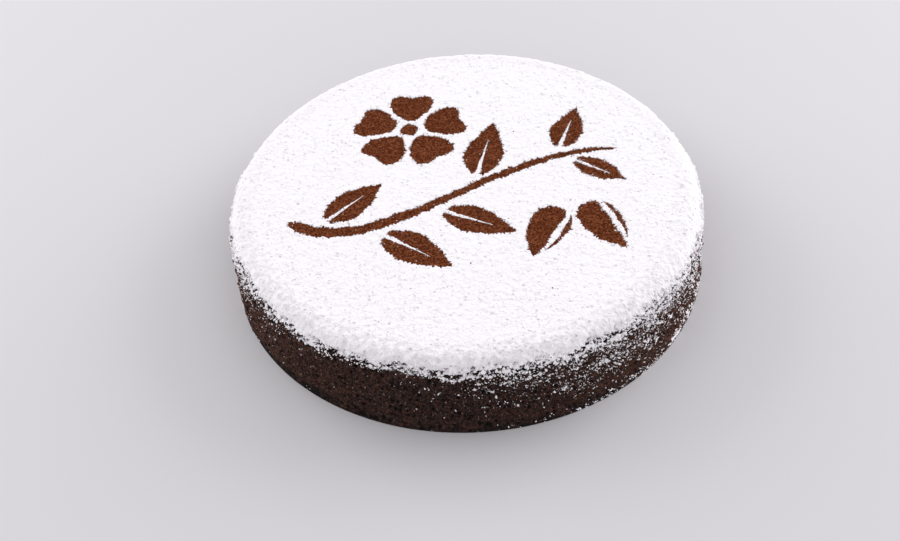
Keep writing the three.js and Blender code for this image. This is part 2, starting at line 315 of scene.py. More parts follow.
def round_wall(turn, values):
    """Read one row of the wall's table at turns counted from +X."""
    return np.interp(np.mod(turn * 360 + 180, 360) - 180, WALL.bearing, values)


# ---- the cake's body ----

# How far nuggets stand at different heights. Cells with a number above the rarity hold a pit, of the first
# width and so much of the second as the number says. The lift sets the whole crumb out.
NUGGET_STEPS = 0.6
PIT_RARITY = 0.6
PIT_WIDTHS = (0.1, 0.35)
CRUMB_LIFT = 0.25

# Crags fade out up the shoulder to this angle, and the finer layer within so many mm of its start.
CRAGS_END = np.pi / 9
CRUMBS_FADE = 2

# The smooth band: its height in mm, how rough it is, and where it roughens, in mm and in band heights.
BAND = {"height": 8, "rough": 0.35, "low": (0.3, 1.6), "high": (0.25, 1.1)}


class Body:
    """The cake's smooth body and the relief on it, in mm."""

    def __init__(self, shape):
        self.gap = (POWDER_FLOOR - CRUMB_TOP) / MM
        self.thickness = shape.sugar / MM
        self.wall = shape.diameter / MM / 2 - self.thickness
        self.top = shape.height / MM - self.thickness - self.gap
        self.round = shape.shoulder / MM - self.thickness - self.gap
        self.start = self.top - self.round
        self.arc = self.round * np.pi / 2
        self.flat = self.start + self.arc
        self.draft = shape.draft / MM
        self.foot_height = shape.foot_height / MM
        self.foot = (shape.foot_least / MM, shape.foot_most / MM)
        self.lower_side = shape.lower_side
        self.middle = self.wall - self.draft - self.round

    def angle(self, up):
        """Angle of the outward direction from the vertical: a quarter turn on the wall, 0 on the top."""
        return np.clip((self.flat - up) / self.round, 0, np.pi / 2)

    def point(self, turn, up, out):
        """Place a point: up the leaning wall, round the shoulder's arc, in over the top, and out along the
        normal. The foot adds a bell in the height, by the cosine of the angle from the lower side."""
        turn, up, out = np.broadcast_arrays(turn, up, out)
        z = np.minimum(up, self.start)
        angle = self.angle(up)
        over = np.maximum(up - self.start - self.arc, 0)
        facing = 0.5 + 0.5 * np.cos(turn * TURN - self.lower_side)
        foot = lerp(*self.foot, facing**3) * bell(z / self.foot_height)
        lean = self.draft * z / self.start
        on_wall = up < self.start
        reach = np.where(on_wall, 0, self.round) + out
        radius = np.where(on_wall, self.wall - lean + foot, self.middle - over) + reach * np.sin(angle)
        x, y = radius * np.cos(turn * TURN), radius * np.sin(turn * TURN)
        return np.stack([x, y, z + reach * np.cos(angle)], -1)

    def crags(self, turn, up):
        """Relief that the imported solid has: large crags, and on the wall a finer layer set inwards."""
        at_base = ramp(0, self.foot_height, up)
        on_shoulder = ramp(CRAGS_END, np.pi / 2, self.angle(up))
        strength = np.where(up < self.start, at_base, on_shoulder)
        finer = relief(turn, up, CRUMBS) - CRUMBS.depth / 2
        fade_finer = ramp(self.start + CRUMBS_FADE, self.start - CRUMBS_FADE, up)
        return strength * relief(turn, up, CRAGS) + at_base * fade_finer * finer

    def crumb(self, turn, up):
        """Add domed nuggets with creases between them, smaller nibs and sparse round pits to the crags."""
        nearest, second, own = layer_cells(turn, up, NUGGETS)
        dome = (0.5 + 0.5 * own) * np.sqrt(np.clip(second - nearest, 0, 1))
        nugget = dome + NUGGET_STEPS * own - NUGGET_STEPS / 2
        nearest, second, _ = layer_cells(turn, up, NIBS)
        nib = np.sqrt(np.clip(second - nearest, 0, 1)) - 0.5
        nearest, _, chance = layer_cells(turn, up, PITS)
        width = PIT_WIDTHS[0] + PIT_WIDTHS[1] * chance
        pit = np.where(chance > PIT_RARITY, np.clip(1 - (nearest / width) ** 2, 0, 1), 0)
        fine_relief = NUGGETS.depth * nugget + NIBS.depth * nib - PITS.depth * pit
        return self.crags(turn, up) + self.roughness(turn, up) * fine_relief + CRUMB_LIFT

    def roughness(self, turn, up):
        """From 0 to 1: the crumb is smoother near the base, where it set against the tin."""
        height = BAND["height"] + relief(turn, 0, BAND_WAVER)
        return BAND["rough"] * ramp(*BAND["low"], up) + (1 - BAND["rough"]) * ramp(*BAND["high"], up / height)


# ---- the sugar's cover ----

# Half the width of the hem's step in mm, above a clean wall and above a dusty one.
HEM_WIDTHS = (3.8, 5.4)

# The crack below the hem and the lip of sugar below the crack, in mm, and the noise over which they come and
# go.
CRACK = {"below": 0.4, "width": 0.5, "span": (-0.35, 0.25)}
LIP = {"below": 1.5, "width": 0.75, "span": (-0.5, 0.2)}

# Loose sugar: its most, where and how it falls off down the wall in mm, and how patchy it is.
LOOSE = {"most": 0.7, "past": 4, "down": 3.0, "fall": 0.7, "between": 0.55, "span": (-0.5, 0.3)}

# The cleaner band above the foot, in mm, and the share of sugar that it lacks.
CLEAN_BAND = {"height": 5.5, "width": 3, "lost": 0.65}

# Sugar on the foot: its least and most, the dust on the wall that brings none, its heights in mm and its
# dashes.
FOOT_SUGAR = {"least": 0.01, "none": 0.12, "most": 0.33, "rise": (3.2, 1.2)}
DASHES_STRENGTH = {"from": 0.3, "to": 0.8, "span": (-0.4, 0.4)}

# Weights in a spot's level, and the slope that counts as one, which counts less near the base.
SHARE_WEIGHT = 1.6
CRACK_WEIGHT = 3.2
SLOPE_UNIT = 0.42
BASE_SLOPE = {"weight": 0.25, "rise": (1, 5)}

# Sheerness, partly thin sugar and partly painted shade in front: all round and in front, how narrow the front
# is, and its start below the flat top and run in mm.
SHEER_AND_SHADE = {"least": 0.025, "front": 0.075, "narrow": 1.3, "below": 12.2, "run": 7}
# How much less painted side light the back gets than the sides.
BACK_DIMMING = 0.5


def slope_up(points):
    """Upward part of the outward normal at each point of a grid that closes round its columns."""
    along = np.roll(points, -1, axis=1) - np.roll(points, 1, axis=1)
    normal = np.cross(along, np.gradient(points, axis=0))
    return normal[..., 2] / np.maximum(np.linalg.norm(normal, axis=-1), 1e-9)


def hem_line(body, turn):
    """Height of the sugar's hem, which wavers round the cake, and half the width of the step there."""
    hem = body.start + round_wall(turn, WALL.hem) + relief(turn, 0, *HEM_WAVERS)
    return hem, lerp(*HEM_WIDTHS, round_wall(turn, WALL.dust))


def hem_share(body, turn, up):
    """Share of the surface that the sugar of the top covers: a soft step at the hem."""
    hem, width = hem_line(body, turn)
    return ramp(hem - width, hem + width, up)


def hem_crack(body, turn, up):
    """Where the sugar's skin broke along the hem, from 1 in the crack to -1 on the lip of sugar that stayed
    below it: two bells in the distance from a wavering line, in stretches that come and go round the cake."""
    hem, _ = hem_line(body, turn)
    above = up - hem - relief(turn, 0, CRACK_WAVER) + CRACK["below"]
    broken = ramp(*CRACK["span"], relief(turn, 0, CRACK_STRETCHES))
    lip = ramp(*LIP["span"], relief(turn, 0, LIP_STRETCHES))
    return broken * (bell(above / CRACK["width"]) - lip * bell((above + LIP["below"]) / LIP["width"]))


def wall_share(body, turn, up):
    """Share that loose sugar covers on the wall: strongest under the hem, in patches, least in a band above
    the foot, and with dashes of it on the foot itself."""
    dust = round_wall(turn, WALL.dust)
    patches = lerp(LOOSE["between"], 1.0, ramp(*LOOSE["span"], relief(turn, up, *PATCHES)))
    down = ramp(body.start + LOOSE["past"], LOOSE["down"], up) ** LOOSE["fall"]
    share = lerp(LOOSE["most"] * dust, round_wall(turn, WALL.low_share), down) * patches
    share = share * (1 - CLEAN_BAND["lost"] * bell((up - CLEAN_BAND["height"]) / CLEAN_BAND["width"]))
    along = ramp(*DASHES_STRENGTH["span"], relief(turn, 0, DASHES))
    dashes = lerp(DASHES_STRENGTH["from"], DASHES_STRENGTH["to"], along)
    foot = FOOT_SUGAR["least"] + np.clip(dust - FOOT_SUGAR["none"], 0, FOOT_SUGAR["most"]) * dashes
    return either(share, foot * ramp(*FOOT_SUGAR["rise"], up))


def sugar_share(body, turn, up):
    """Share that sugar covers, from the top or loose."""
    return either(hem_share(body, turn, up), wall_share(body, turn, up))


def sugar_level(body, turn, up, slope):
    """How ready each spot is to hold sugar, in units of a normal number: its share of cover, and how much
    more it faces up than the smooth body does."""
    weight = lerp(BASE_SLOPE["weight"], 1.0, ramp(*BASE_SLOPE["rise"], up))
    tilt = (slope - np.cos(body.angle(up))) / SLOPE_UNIT * weight
    ready = SHARE_WEIGHT * probit(sugar_share(body, turn, up)) + tilt + relief(turn, up, *SPECKLES)
    return ready - CRACK_WEIGHT * hem_crack(body, turn, up)


def sheerness_and_shade(body, turn, up):
    """How much the sugar greys: partly crumb showing through thin sugar and partly painted shade, most in
    front, on the shoulder's upper half.
    """
    front = np.clip(np.cos(turn * TURN - THIN_SHADED_SIDE), 0, 1) ** SHEER_AND_SHADE["narrow"]
    high = np.clip((up - body.flat + SHEER_AND_SHADE["below"]) / SHEER_AND_SHADE["run"], 0, 1)
    return (SHEER_AND_SHADE["least"] + SHEER_AND_SHADE["front"] * front) * high


def side_light_share(turn):
    """How much painted light lightens the crumb: least in front, most at the sides, in between at the back.
    """
    facing = np.cos(turn * TURN - LEAST_LIT_SIDE)
    return 1 - np.clip(facing, 0, 1) ** 2 - BACK_DIMMING * np.clip(-facing, 0, 1) ** 2


# ---- meshes ----

# Lumps: how far they are drawn out, how much their sizes differ, their lowest point in mm, and the spots
# drawn for each one kept.
STRETCHES = (0.7, 1.25)
SIZE_SPREAD = 0.32
LOWEST = 0.05
DRAWS_PER_LUMP = 60


def grid_numbers(rows, columns, wrap_rows=0, wrap_columns=1):
    """Number a grid's points, and repeat its first columns and rows after the last where it closes."""
    number = np.arange(rows * columns).reshape(rows, columns)
    return np.pad(number, ((0, wrap_rows), (0, wrap_columns)), "wrap")


def quads(number):
    """Four-sided faces between the neighbours of a grid of point numbers."""
    corners = (number[:-1, :-1], number[:-1, 1:], number[1:, 1:], number[1:, :-1])
    return np.stack(corners, -1).reshape(-1, 4)


def fan(pole, line):
    """Triangles from a pole to each step along a line of point numbers."""
    return np.stack([np.full(len(line) - 1, pole), line[:-1], line[1:]], -1)


def new_mesh(name, points, *groups):
    """Make a mesh from points in mm and arrays of faces, one array for each number of corners."""
    mesh = bpy.data.meshes.new(name)
    corners = np.concatenate([group.ravel() for group in groups])
    sizes = np.concatenate([np.full(len(group), group.shape[1]) for group in groups])
    mesh.vertices.add(len(points))
    mesh.vertices.foreach_set("co", np.asarray(points, float).ravel() * MM)
    mesh.loops.add(len(corners))
    mesh.loops.foreach_set("vertex_index", corners.astype(np.int32))
    mesh.polygons.add(len(sizes))
    mesh.polygons.foreach_set("loop_start", (np.cumsum(sizes) - sizes).astype(np.int32))
    mesh.update(calc_edges=True)
    if mesh.validate():
        raise RuntimeError(f"{name} has faulty faces")
    return mesh


def new_object(data):
    """Put a mesh, a light or a camera in the scene as an object of the same name, at the origin."""
    thing = bpy.data.objects.new(data.name, data)
    bpy.context.scene.collection.objects.link(thing)
    return thing


def finish_piece(piece, slot, nodes=(), smooth=True):
    """Give a piece its slot's material and its body, and hide the nodes that it stands for."""
    piece.data.materials.clear()
    piece.data.materials.append(slot_material(slot))
    piece.data.shade_smooth() if smooth else piece.data.shade_flat()
    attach(piece, BODY)
    if nodes:
        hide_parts(*nodes)


def mark(mesh, **marks):
    """Store numbers on a mesh for the materials to read: one for each vertex, or one for all."""
    for name, values in marks.items():
        attribute = mesh.attributes.new(name, "FLOAT", "POINT")
        every = np.broadcast_to(np.ravel(values), len(mesh.vertices))
        attribute.data.foreach_set("value", every.astype(np.float32))


def mesh_points(mesh):
    """Read a mesh's vertices, in mm."""
    points = np.empty(len(mesh.vertices) * 3)
    mesh.vertices.foreach_get("co", points)
    return points.reshape(-1, 3) / MM


def trim(piece, cutter, operation):
    """Cut a closed piece by a closed cutter, make the result its mesh, and remove the cutter."""
    modifier = piece.modifiers.new("Trim", "BOOLEAN")
    modifier.operation = operation
    modifier.solver = "MANIFOLD"
    modifier.object = cutter
    graph = bpy.context.evaluated_depsgraph_get()
    trimmed = bpy.data.meshes.new_from_object(piece.evaluated_get(graph))
    if len(trimmed.polygons) == 0:
        raise RuntimeError(f"trimming {piece.name} left nothing")
    piece.modifiers.clear()
    spent = (piece.data, cutter.data)
    piece.data = trimmed
    bpy.data.objects.remove(cutter)
    for mesh in spent:
        bpy.data.meshes.remove(mesh)
    trimmed.name = piece.name


def ball(columns, rings):
    """Give the points and triangles of a unit ball: rings of points at even angles between two poles, each
    ring turned by half a step from the last."""
    polar = np.linspace(0, np.pi, rings + 2)[1:-1, None]
    around = (np.arange(columns)[None] + 0.5 * np.arange(rings)[:, None]) / columns * TURN
    rows = np.broadcast_arrays(np.sin(polar) * np.cos(around), np.sin(polar) * np.sin(around), np.cos(polar))
    points = np.concatenate([np.stack(rows, -1).reshape(-1, 3), [(0, 0, 1), (0, 0, -1)]])
    number = grid_numbers(rings, columns)
    here, beside = number[:, :-1], number[:, 1:]
    upper = np.stack([here[:-1], here[1:], beside[:-1]], -1).reshape(-1, 3)
    lower = np.stack([beside[:-1], here[1:], beside[1:]], -1).reshape(-1, 3)
    top = fan(rings * columns, number[0])
    bottom = fan(rings * columns + 1, number[-1])[:, [0, 2, 1]]
    return points, np.concatenate([upper, lower, top, bottom])


def random_turns(rng, count):
    """Random rotations as matrices, from unit quaternions."""
    q = rng.normal(size=(count, 4))
    w, x, y, z = (q / np.linalg.norm(q, axis=1, keepdims=True)).T
    rows = (
        (1 - 2 * (y * y + z * z), 2 * (x * y - z * w), 2 * (x * z + y * w)),
        (2 * (x * y + z * w), 1 - 2 * (x * x + z * z), 2 * (y * z - x * w)),
        (2 * (x * z - y * w), 2 * (y * z + x * w), 1 - 2 * (x * x + y * y)),
    )
    return np.moveaxis(np.array(rows), -1, 0)


def scatter(name, centres, sizes, rng, shape=(5, 2), knobbly=0.3, normals=None, flatness=1.0, long=1.0):
    """Join one lump for each centre: a ball with its points moved in and out at random, drawn out, turned,
    flattened along the normal where one is given, and kept above the base."""
    points, faces = ball(*shape)
    count = len(centres)
    stretch = rng.uniform(*STRETCHES, size=(count, 1, 3)) * (long, 1, 1)
    bumps = 1 + knobbly * rng.uniform(-1, 1, size=(count, len(points), 1))
    lumps = np.einsum("nij,nkj->nki", random_turns(rng, count), points[None] * stretch * bumps)
    lumps = lumps * (np.asarray(sizes)[:, None, None] / 2)
    if normals is not None:
        along = np.einsum("nki,ni->nk", lumps, normals)[..., None]
        lumps = lumps - (1 - flatness) * along * normals[:, None]
    lumps = centres[:, None] + lumps
    lumps[..., 2] = np.maximum(lumps[..., 2], LOWEST)
    every = np.arange(count)[:, None, None] * len(points) + faces[None]
    return new_mesh(name, lumps.reshape(-1, 3), every.reshape(-1, 3))


def lump_sizes(rng, count, mean):
    """Sizes in mm round a mean, with few large ones: the mean times the exponential of a normal number."""
    return mean * np.exp(rng.normal(0, SIZE_SPREAD, size=count))


# ---- materials ----

# The span of noise over which a powder's tone changes, and the scale of noise with features of about a
# millimetre.
TONES = (0.36, 0.64)
MATERIALS = {"sugar": "dusted_sugar", "cocoa": "cocoa_powder", "crumb": "baked_crumb"}
NOISE_PER_MM = 0.5 / MM


class Nodes:
    """A node tree that is being filled, with the place that its textures read."""

    def __init__(self, tree, place=None):
        self.tree = tree
        self.place = place or self.add("TexCoord")["Object"]

    def fill(self, node, values):
        """Link or set a node's inputs, by name or number."""
        for key, value in values.items():
            if isinstance(value, bpy.types.NodeSocket):
                self.tree.links.new(value, node.inputs[key])
            else:
                node.inputs[key].default_value = value

    def add(self, kind, values=None, **settings):
        """Add a node with its settings and the values of its inputs, and give its outputs."""
        node = self.tree.nodes.new(f"ShaderNode{kind}")
        for key, value in settings.items():
            setattr(node, key, value)
        self.fill(node, values or {})
        return node.outputs

    def maths(self, operation, *values):
        """Work out one number from others."""
        return self.add("Math", dict(enumerate(values)), operation=operation)[0]

    def scaled(self, value, factor, offset):
        """Multiply a number by a factor, and add to it."""
        return self.maths("MULTIPLY_ADD", value, factor, offset)

    def product(self, value, factor):
        """Multiply two numbers."""
        return self.maths("MULTIPLY", value, factor)

    def stretch(self, value, low, high):
        """Rise smoothly from 0 at low to 1 at high."""
        values = {"Value": value, "From Min": low, "From Max": high}
        return self.add("MapRange", values, interpolation_type="SMOOTHSTEP")[0]

    def lerp(self, low, high, share):
        """Mix two fixed numbers by a share that changes over the surface."""
        return self.scaled(share, high - low, low)

    def mix(self, share, *pair):
        """Mix two colours by a share."""
        socket = bpy.types.NodeSocket
        first, second = (value if isinstance(value, socket) else (*value, 1.0) for value in pair)
        return self.add("Mix", {0: share, 6: first, 7: second}, data_type="RGBA")[2]

    def noise(self, scale, detail=2.0, roughness=0.5, place=None):
        """Noise at the place, with so many features in a metre."""
        values = {"Vector": place or self.place, "Scale": scale, "Detail": detail, "Roughness": roughness}
        return self.add("TexNoise", values)["Fac"]

    def attribute(self, name):
        """A number stored on the vertices."""
        return self.add("Attribute", attribute_name=name)["Fac"]

    def group(self, name, **values):
        """Put in a node group with its own values, at the place where no other is given."""
        return self.add("Group", {"Vector": self.place, **values}, node_tree=bpy.data.node_groups[name])

    def finish(self, shader, colour, height, distance):
        """Give the shader its colour, and raise its surface by a height times a distance in mm."""
        normal = self.add("Bump", {"Height": height, "Distance": distance * MM, "Strength": 1.0})["Normal"]
        self.fill(shader, {"Base Color": colour, "Normal": normal})


def new_group(name, inputs, outputs):
    """Start a shader node group that is given a place and numbers with defaults, and makes numbers."""
    tree = bpy.data.node_groups.new(name, "ShaderNodeTree")
    tree.interface.new_socket(name="Vector", in_out="INPUT", socket_type="NodeSocketVector")
    for key, default in inputs.items():
        socket = tree.interface.new_socket(name=key, in_out="INPUT", socket_type="NodeSocketFloat")
        socket.default_value = default
    for key in outputs:
        tree.interface.new_socket(name=key, in_out="OUTPUT", socket_type="NodeSocketFloat")
    given = tree.nodes.new("NodeGroupInput").outputs
    return Nodes(tree, given["Vector"]), given, tree.nodes.new("NodeGroupOutput")


def powder_group():
    """Powder: fine grains and coarser ones, as a height and as two tones from 0 to 1."""
    nodes, given, made = new_group("Powder", {"Size": 0.6}, ("Height", "Fine", "Coarse"))
    scale = nodes.maths("DIVIDE", NOISE_PER_MM, given["Size"])
    fine = nodes.noise(scale, detail=3.0)
    coarse = nodes.noise(nodes.product(scale, 0.4))
    tones = {"Fine": nodes.stretch(fine, *TONES), "Coarse": nodes.stretch(coarse, *TONES)}
    nodes.fill(made, {"Height": nodes.scaled(coarse, 2.5, fine), **tones})


def spots_group():
    """Spots: a mask of round spots scattered in space, each of its own width and strength. A spot is full out
    to the core's share of its width and fades out from there, and its edge is made uneven by fine noise."""
    nodes, given, made = new_group("Spots", {"Spacing": 2.6, "Width": 0.3, "Core": 0.4}, ("Mask",))
    scale = nodes.maths("DIVIDE", 1 / MM, given["Spacing"])
    cells = nodes.add("TexVoronoi", {"Vector": nodes.place, "Scale": scale})
    chance = nodes.add("SeparateColor", {"Color": cells["Color"]})
    wobble = nodes.noise(nodes.product(scale, 2.5), detail=1.0)
    uneven = nodes.scaled(wobble, 0.5, cells["Distance"])
    reach = nodes.scaled(chance["Red"], given["Width"], 0.25)
    core = nodes.scaled(chance["Red"], nodes.product(given["Width"], given["Core"]), 0.25)
    inside = nodes.maths("SUBTRACT", 1.0, nodes.stretch(uneven, core, reach))
    strength = nodes.scaled(chance["Green"], 0.75, 0.25)
    nodes.fill(made, {"Mask": nodes.product(inside, strength)})


def caught_group():
    """Caught sugar: small relief, a mask on the upper sides of its bumps that grows with the level, and a
    mask of the shaded undersides. A bump's upper side is where the relief is higher than it is a little
    further up."""
    inputs = {"Level": 0.0, "Size": 0.6}
    nodes, given, made = new_group("Caught sugar", inputs, ("Height", "Mask", "Shade"))
    scale = nodes.maths("DIVIDE", NOISE_PER_MM, given["Size"])
    here = nodes.noise(scale)
    step = nodes.add("CombineXYZ", {"Z": nodes.product(given["Size"], 0.5 * MM)})[0]
    raised = nodes.add("VectorMath", {0: nodes.place, 1: step}, operation="ADD")[0]
    rise = nodes.maths("SUBTRACT", here, nodes.noise(scale, place=raised))
    tilt = nodes.maths("DIVIDE", rise, 0.075)
    mask = nodes.stretch(nodes.maths("ADD", tilt, given["Level"]), -0.15, 0.35)
    shade = nodes.stretch(nodes.product(tilt, -1.0), 0.4, 2.0)
    nodes.fill(made, {"Height": here, "Mask": mask, "Shade": shade})


def dusting_group():
    """Dusting: a mask of crisp specks that closes up as the amount rises."""
    inputs = {"Amount": 0.0, "Size": 0.6, "Softness": 0.06}
    nodes, given, made = new_group("Dusting", inputs, ("Mask",))
    specks = nodes.noise(nodes.maths("DIVIDE", NOISE_PER_MM, given["Size"]))
    lifted = nodes.maths("ADD", specks, given["Amount"])
    nodes.fill(made, {"Mask": nodes.stretch(lifted, 1.0, nodes.maths("ADD", 1.0, given["Softness"]))})


def new_material(name, roughness, specular):
    """Start a material, and give its nodes and its shader."""
    material = bpy.data.materials.new(name)
    material.use_nodes = True
    nodes = Nodes(material.node_tree)
    shader = material.node_tree.nodes["Principled BSDF"]
    nodes.fill(shader, {"Roughness": roughness, "Specular IOR Level": specular})
    return nodes, shader


def sugar_material(palette):
    """Icing sugar: white, with painted shade in sparse hollows, cocoa dust near the stencil, greying where it
    is sheer that is partly painted shade, and near-black gaps of painted shade where it is thin.
    """
    nodes, shader = new_material(MATERIALS["sugar"], roughness=1.0, specular=0.1)
    powder = nodes.group("Powder", Size=0.5)
    # Grey hollows and pinholes are painted shade.
    hollows = nodes.group("Spots", Spacing=2.1, Width=0.5, Core=0.0)["Mask"]
    pinholes = nodes.group("Spots", Spacing=1.2, Width=0.4, Core=0.0)["Mask"]
    shaded = nodes.scaled(pinholes, 0.65, hollows)
    base = nodes.mix(shaded, palette.sugar, palette.sugar_shade)
    brown = nodes.group("Dusting", Amount=nodes.attribute("cocoa_near"), Size=0.45, Softness=0.5)["Mask"]
    base = nodes.mix(brown, base, palette.cocoa)
    # The sheer grey is partly crumb through thin sugar and partly painted shade, mottled by coarse noise.
    uneven = nodes.lerp(1.9, 0.1, powder["Coarse"])
    base = nodes.mix(nodes.product(nodes.attribute("sheer"), uneven), base, palette.sheer)
    # Where the edge holds no sugar, it shows near-black painted shade.
    caught = nodes.group("Caught sugar", Level=nodes.attribute("level"), Size=0.75)["Mask"]
    base = nodes.mix(caught, palette.crumb_shade, base)
    nodes.finish(shader, base, nodes.scaled(shaded, -1.2, powder["Height"]), 0.5)


def cocoa_material(palette):
    """Cocoa: brown powder, with painted shade in its hollows and a painted highlight on raised grains, with
    white grains where thin.
    """
    nodes, shader = new_material(MATERIALS["cocoa"], roughness=1.0, specular=0.05)
    powder = nodes.group("Powder", Size=0.45)
    base = nodes.mix(powder["Fine"], palette.cocoa_dark_and_shade, palette.cocoa)
    # Raised grains get a painted highlight, and hollows painted shade.
    raised = nodes.product(powder["Coarse"], powder["Fine"])
    base = nodes.mix(nodes.product(raised, 0.5), base, palette.cocoa_highlight)
    hollows = nodes.group("Spots", Spacing=1.6, Width=0.4)["Mask"]
    base = nodes.mix(nodes.product(hollows, 0.85), base, palette.cocoa_dark_and_shade)
    grains = nodes.group("Dusting", Amount=nodes.attribute("thin"), Size=0.4, Softness=0.1)["Mask"]
    base = nodes.mix(grains, base, palette.sugar_shade)
    nodes.finish(shader, base, nodes.scaled(hollows, -1.0, powder["Height"]), 0.3)


def crumb_material(palette):
    """Crumb: fine dark grain with painted shade between its grains, redder nuggets, pale almond bits that are
    partly painted glints and holes of painted shade where it is rough, painted light lightening the sides,
    near-black painted shade in creases and undersides, and sugar where a spot catches it."""
    nodes, shader = new_material(MATERIALS["crumb"], roughness=0.7, specular=0.1)
    # The fine grain's dark tone is painted shade between grains.
    grain = nodes.stretch(nodes.noise(NOISE_PER_MM / 0.55, detail=3.0, roughness=0.65), 0.38, 0.62)
    base = nodes.mix(grain, palette.crumb_deep_shade, palette.crumb)
    patches = nodes.stretch(nodes.noise(NOISE_PER_MM / 0.8, detail=3.0), 0.52, 0.66)
    base = nodes.mix(nodes.product(patches, 0.5), base, palette.crumb_red)
    rough = nodes.stretch(nodes.attribute("rough"), 0.3, 1.0)
    # Pale spots are almond bits, and partly painted glints where the crumb is rough.
    bits = nodes.group("Spots", Spacing=1.1, Width=0.34, Core=0.6)["Mask"]
    base = nodes.mix(nodes.product(bits, rough), base, palette.crumb_pale_and_glint)
    # Painted light lightens the crumb towards the sides.
    base = nodes.mix(nodes.product(nodes.attribute("dry"), 0.09), base, palette.crumb_side_lit)
    level = nodes.attribute("level")
    caught = nodes.group("Caught sugar", Level=level, Size=0.55)
    # Painted shade: undersides of bumps, creases, the hem, the base and holes go near-black.
    depth = nodes.lerp(0.9, 3.0, nodes.stretch(level, -3.5, -1.5))
    shade = nodes.scaled(caught["Shade"], depth, nodes.attribute("hollow"))
    moved = nodes.add("VectorMath", {0: nodes.place, 1: (0.5, 0.5, 0.5)}, operation="ADD")[0]
    holes = nodes.product(nodes.group("Spots", Vector=moved, Spacing=1.5, Width=0.42)["Mask"], rough)
    darker = nodes.stretch(nodes.maths("MAXIMUM", shade, holes), 0.15, 0.8)
    base = nodes.mix(darker, base, palette.crumb_shade)
    base = nodes.mix(caught["Mask"], base, palette.sugar)
    nodes.fill(shader, {"Roughness": nodes.lerp(0.7, 1.0, caught["Mask"])})
    nodes.finish(shader, base, nodes.scaled(holes, -0.5, caught["Height"]), 0.7)


def slot_material(slot):
    """Find a slot's material, after making them all the first time that one is asked for."""
    if MATERIALS[slot] not in bpy.data.materials:
        for make_group in (powder_group, spots_group, caught_group, dusting_group):
            make_group()
        for make_material in (sugar_material, cocoa_material, crumb_material):
            make_material(bpy.context.scene.cake_palette)
    return bpy.data.materials[MATERIALS[slot]]


# ---- the stencil ----

# Sizes and places in mm, from the stencil's middle; leaves lean from the stem and almonds turn by degrees.
STEM = {"points": ((-84, -28), (-38, -56), (2, 20), (66, 20)), "foot": 7.0, "tip": 3.2}
Leaf = namedtuple("Leaf", "at side lean length width")
LEAVES = (
    Leaf(0.08, 1, 62, 36, 17),
    Leaf(0.27, -1, 52, 40, 18),
    Leaf(0.46, -1, 56, 38, 17),
    Leaf(0.6, 1, 46, 41, 18.5),
    Leaf(0.84, 1, 54, 33, 15.5),
    Leaf(0.86, -1, 50, 29, 13.5),
)
LEAF_STANDOFF = 3.4
LEAF_FULLNESS = 0.8
LEAF_FOOT = 0.07
SLIT_WIDTH = 2.0
SLIT_REACH = 0.62
BLOSSOM = {"x": -33, "y": 37, "petals": 5, "hole": 6.8, "length": 22.5, "width": 20.8, "eye": 4.4}
PETAL_FLARE = 0.3
PETAL_NOTCH = {"depth": 0.17, "spread": 0.5}
Almond = namedtuple("Almond", "x y angle length width")
ALMONDS = (Almond(38, -20, -112, 34, 21), Almond(50, -17, -62, 34, 21))
ALMOND_FULLNESS = 1.12
ALMOND_SHARPNESS = 0.8
KERNEL_SHARE = 0.42
RIM_SHARES = {"ends": 0.93, "middle": 0.68}
RIM_SPAN = {"from": 0.25, "to": 0.8}
STROKE_ENDS = 0.35
STROKE_SQUARENESS = 9

# A ragged edge in mm: its lobes, its teeth and waves, and the room across that lets it stray in full.
LOBE = 1.35
TEETH = {"step": 0.42, "share": 0.35}
WAVES = {"step": 3.2, "share": 0.4}
ROOM = 2.2
RAGGED_SEED = 70


def spread(count):
    """Numbers from 0 to 1, both included."""
    return np.linspace(0, 1, count)


def there_and_back(x, out, back):
    """Closed outline that runs along x beside out, and back beside back."""
    return np.concatenate([np.stack([x, out], -1), np.stack([x, back], -1)[::-1]])


def leaf_outline(length, width):
    """Pointed leaf along +X: half width is the sine of pi times the share of its length, raised to its
    fullness, with a slit from the foot that narrows to nothing."""
    share = lerp(1, LEAF_FOOT, spread(160))
    down = spread(80)
    x = np.concatenate([share * length, LEAF_FOOT * length + SLIT_REACH * length * down])
    y = np.concatenate([width / 2 * np.sin(np.pi * share**LEAF_FULLNESS), SLIT_WIDTH / 2 * (1 - down)])
    return there_and_back(x, y, -y)


def almond_half(width, angle):
    """Half of an almond's width: the sine of the angle times a power of the sine of half the angle."""
    return width / 2 * ALMOND_FULLNESS * np.sin(angle) * np.sin(angle / 2) ** ALMOND_SHARPNESS


def kernel_outline(length, width):
    """Almond along +X: its length runs with an angle's cosine, and one side is hollowed by its sine."""
    angle = spread(160) * np.pi
    half = almond_half(width, angle)
    hollow = lerp(1, KERNEL_SHARE, np.sin(angle)) * half
    return there_and_back(length / 2 * (1 + np.cos(angle)), hollow, -half)


def rim_outline(length, width):
    """Crescent along the kernel's hollow side, between two shares of the almond's half width."""
    share = spread(120)
    angle = np.pi * lerp(RIM_SPAN["from"], RIM_SPAN["to"], share)
    half = almond_half(width, angle)
    inner = lerp(RIM_SHARES["ends"], RIM_SHARES["middle"], np.sin(np.pi * share)) * half
    return there_and_back(length / 2 * (1 + np.cos(angle)), half, inner)


def petal_outline(length, width):
    """Ellipse along +X that flares towards its tip, with a bell-shaped notch there."""
    angle = spread(240)[1:] * TURN
    dip = PETAL_NOTCH["depth"] * length * bell(np.minimum(angle, TURN - angle) / PETAL_NOTCH["spread"])
    x = length / 2 * (1 + np.cos(angle)) - dip
    return np.stack([x, width / 2 * np.sin(angle) * (1 + PETAL_FLARE * np.cos(angle))], -1)


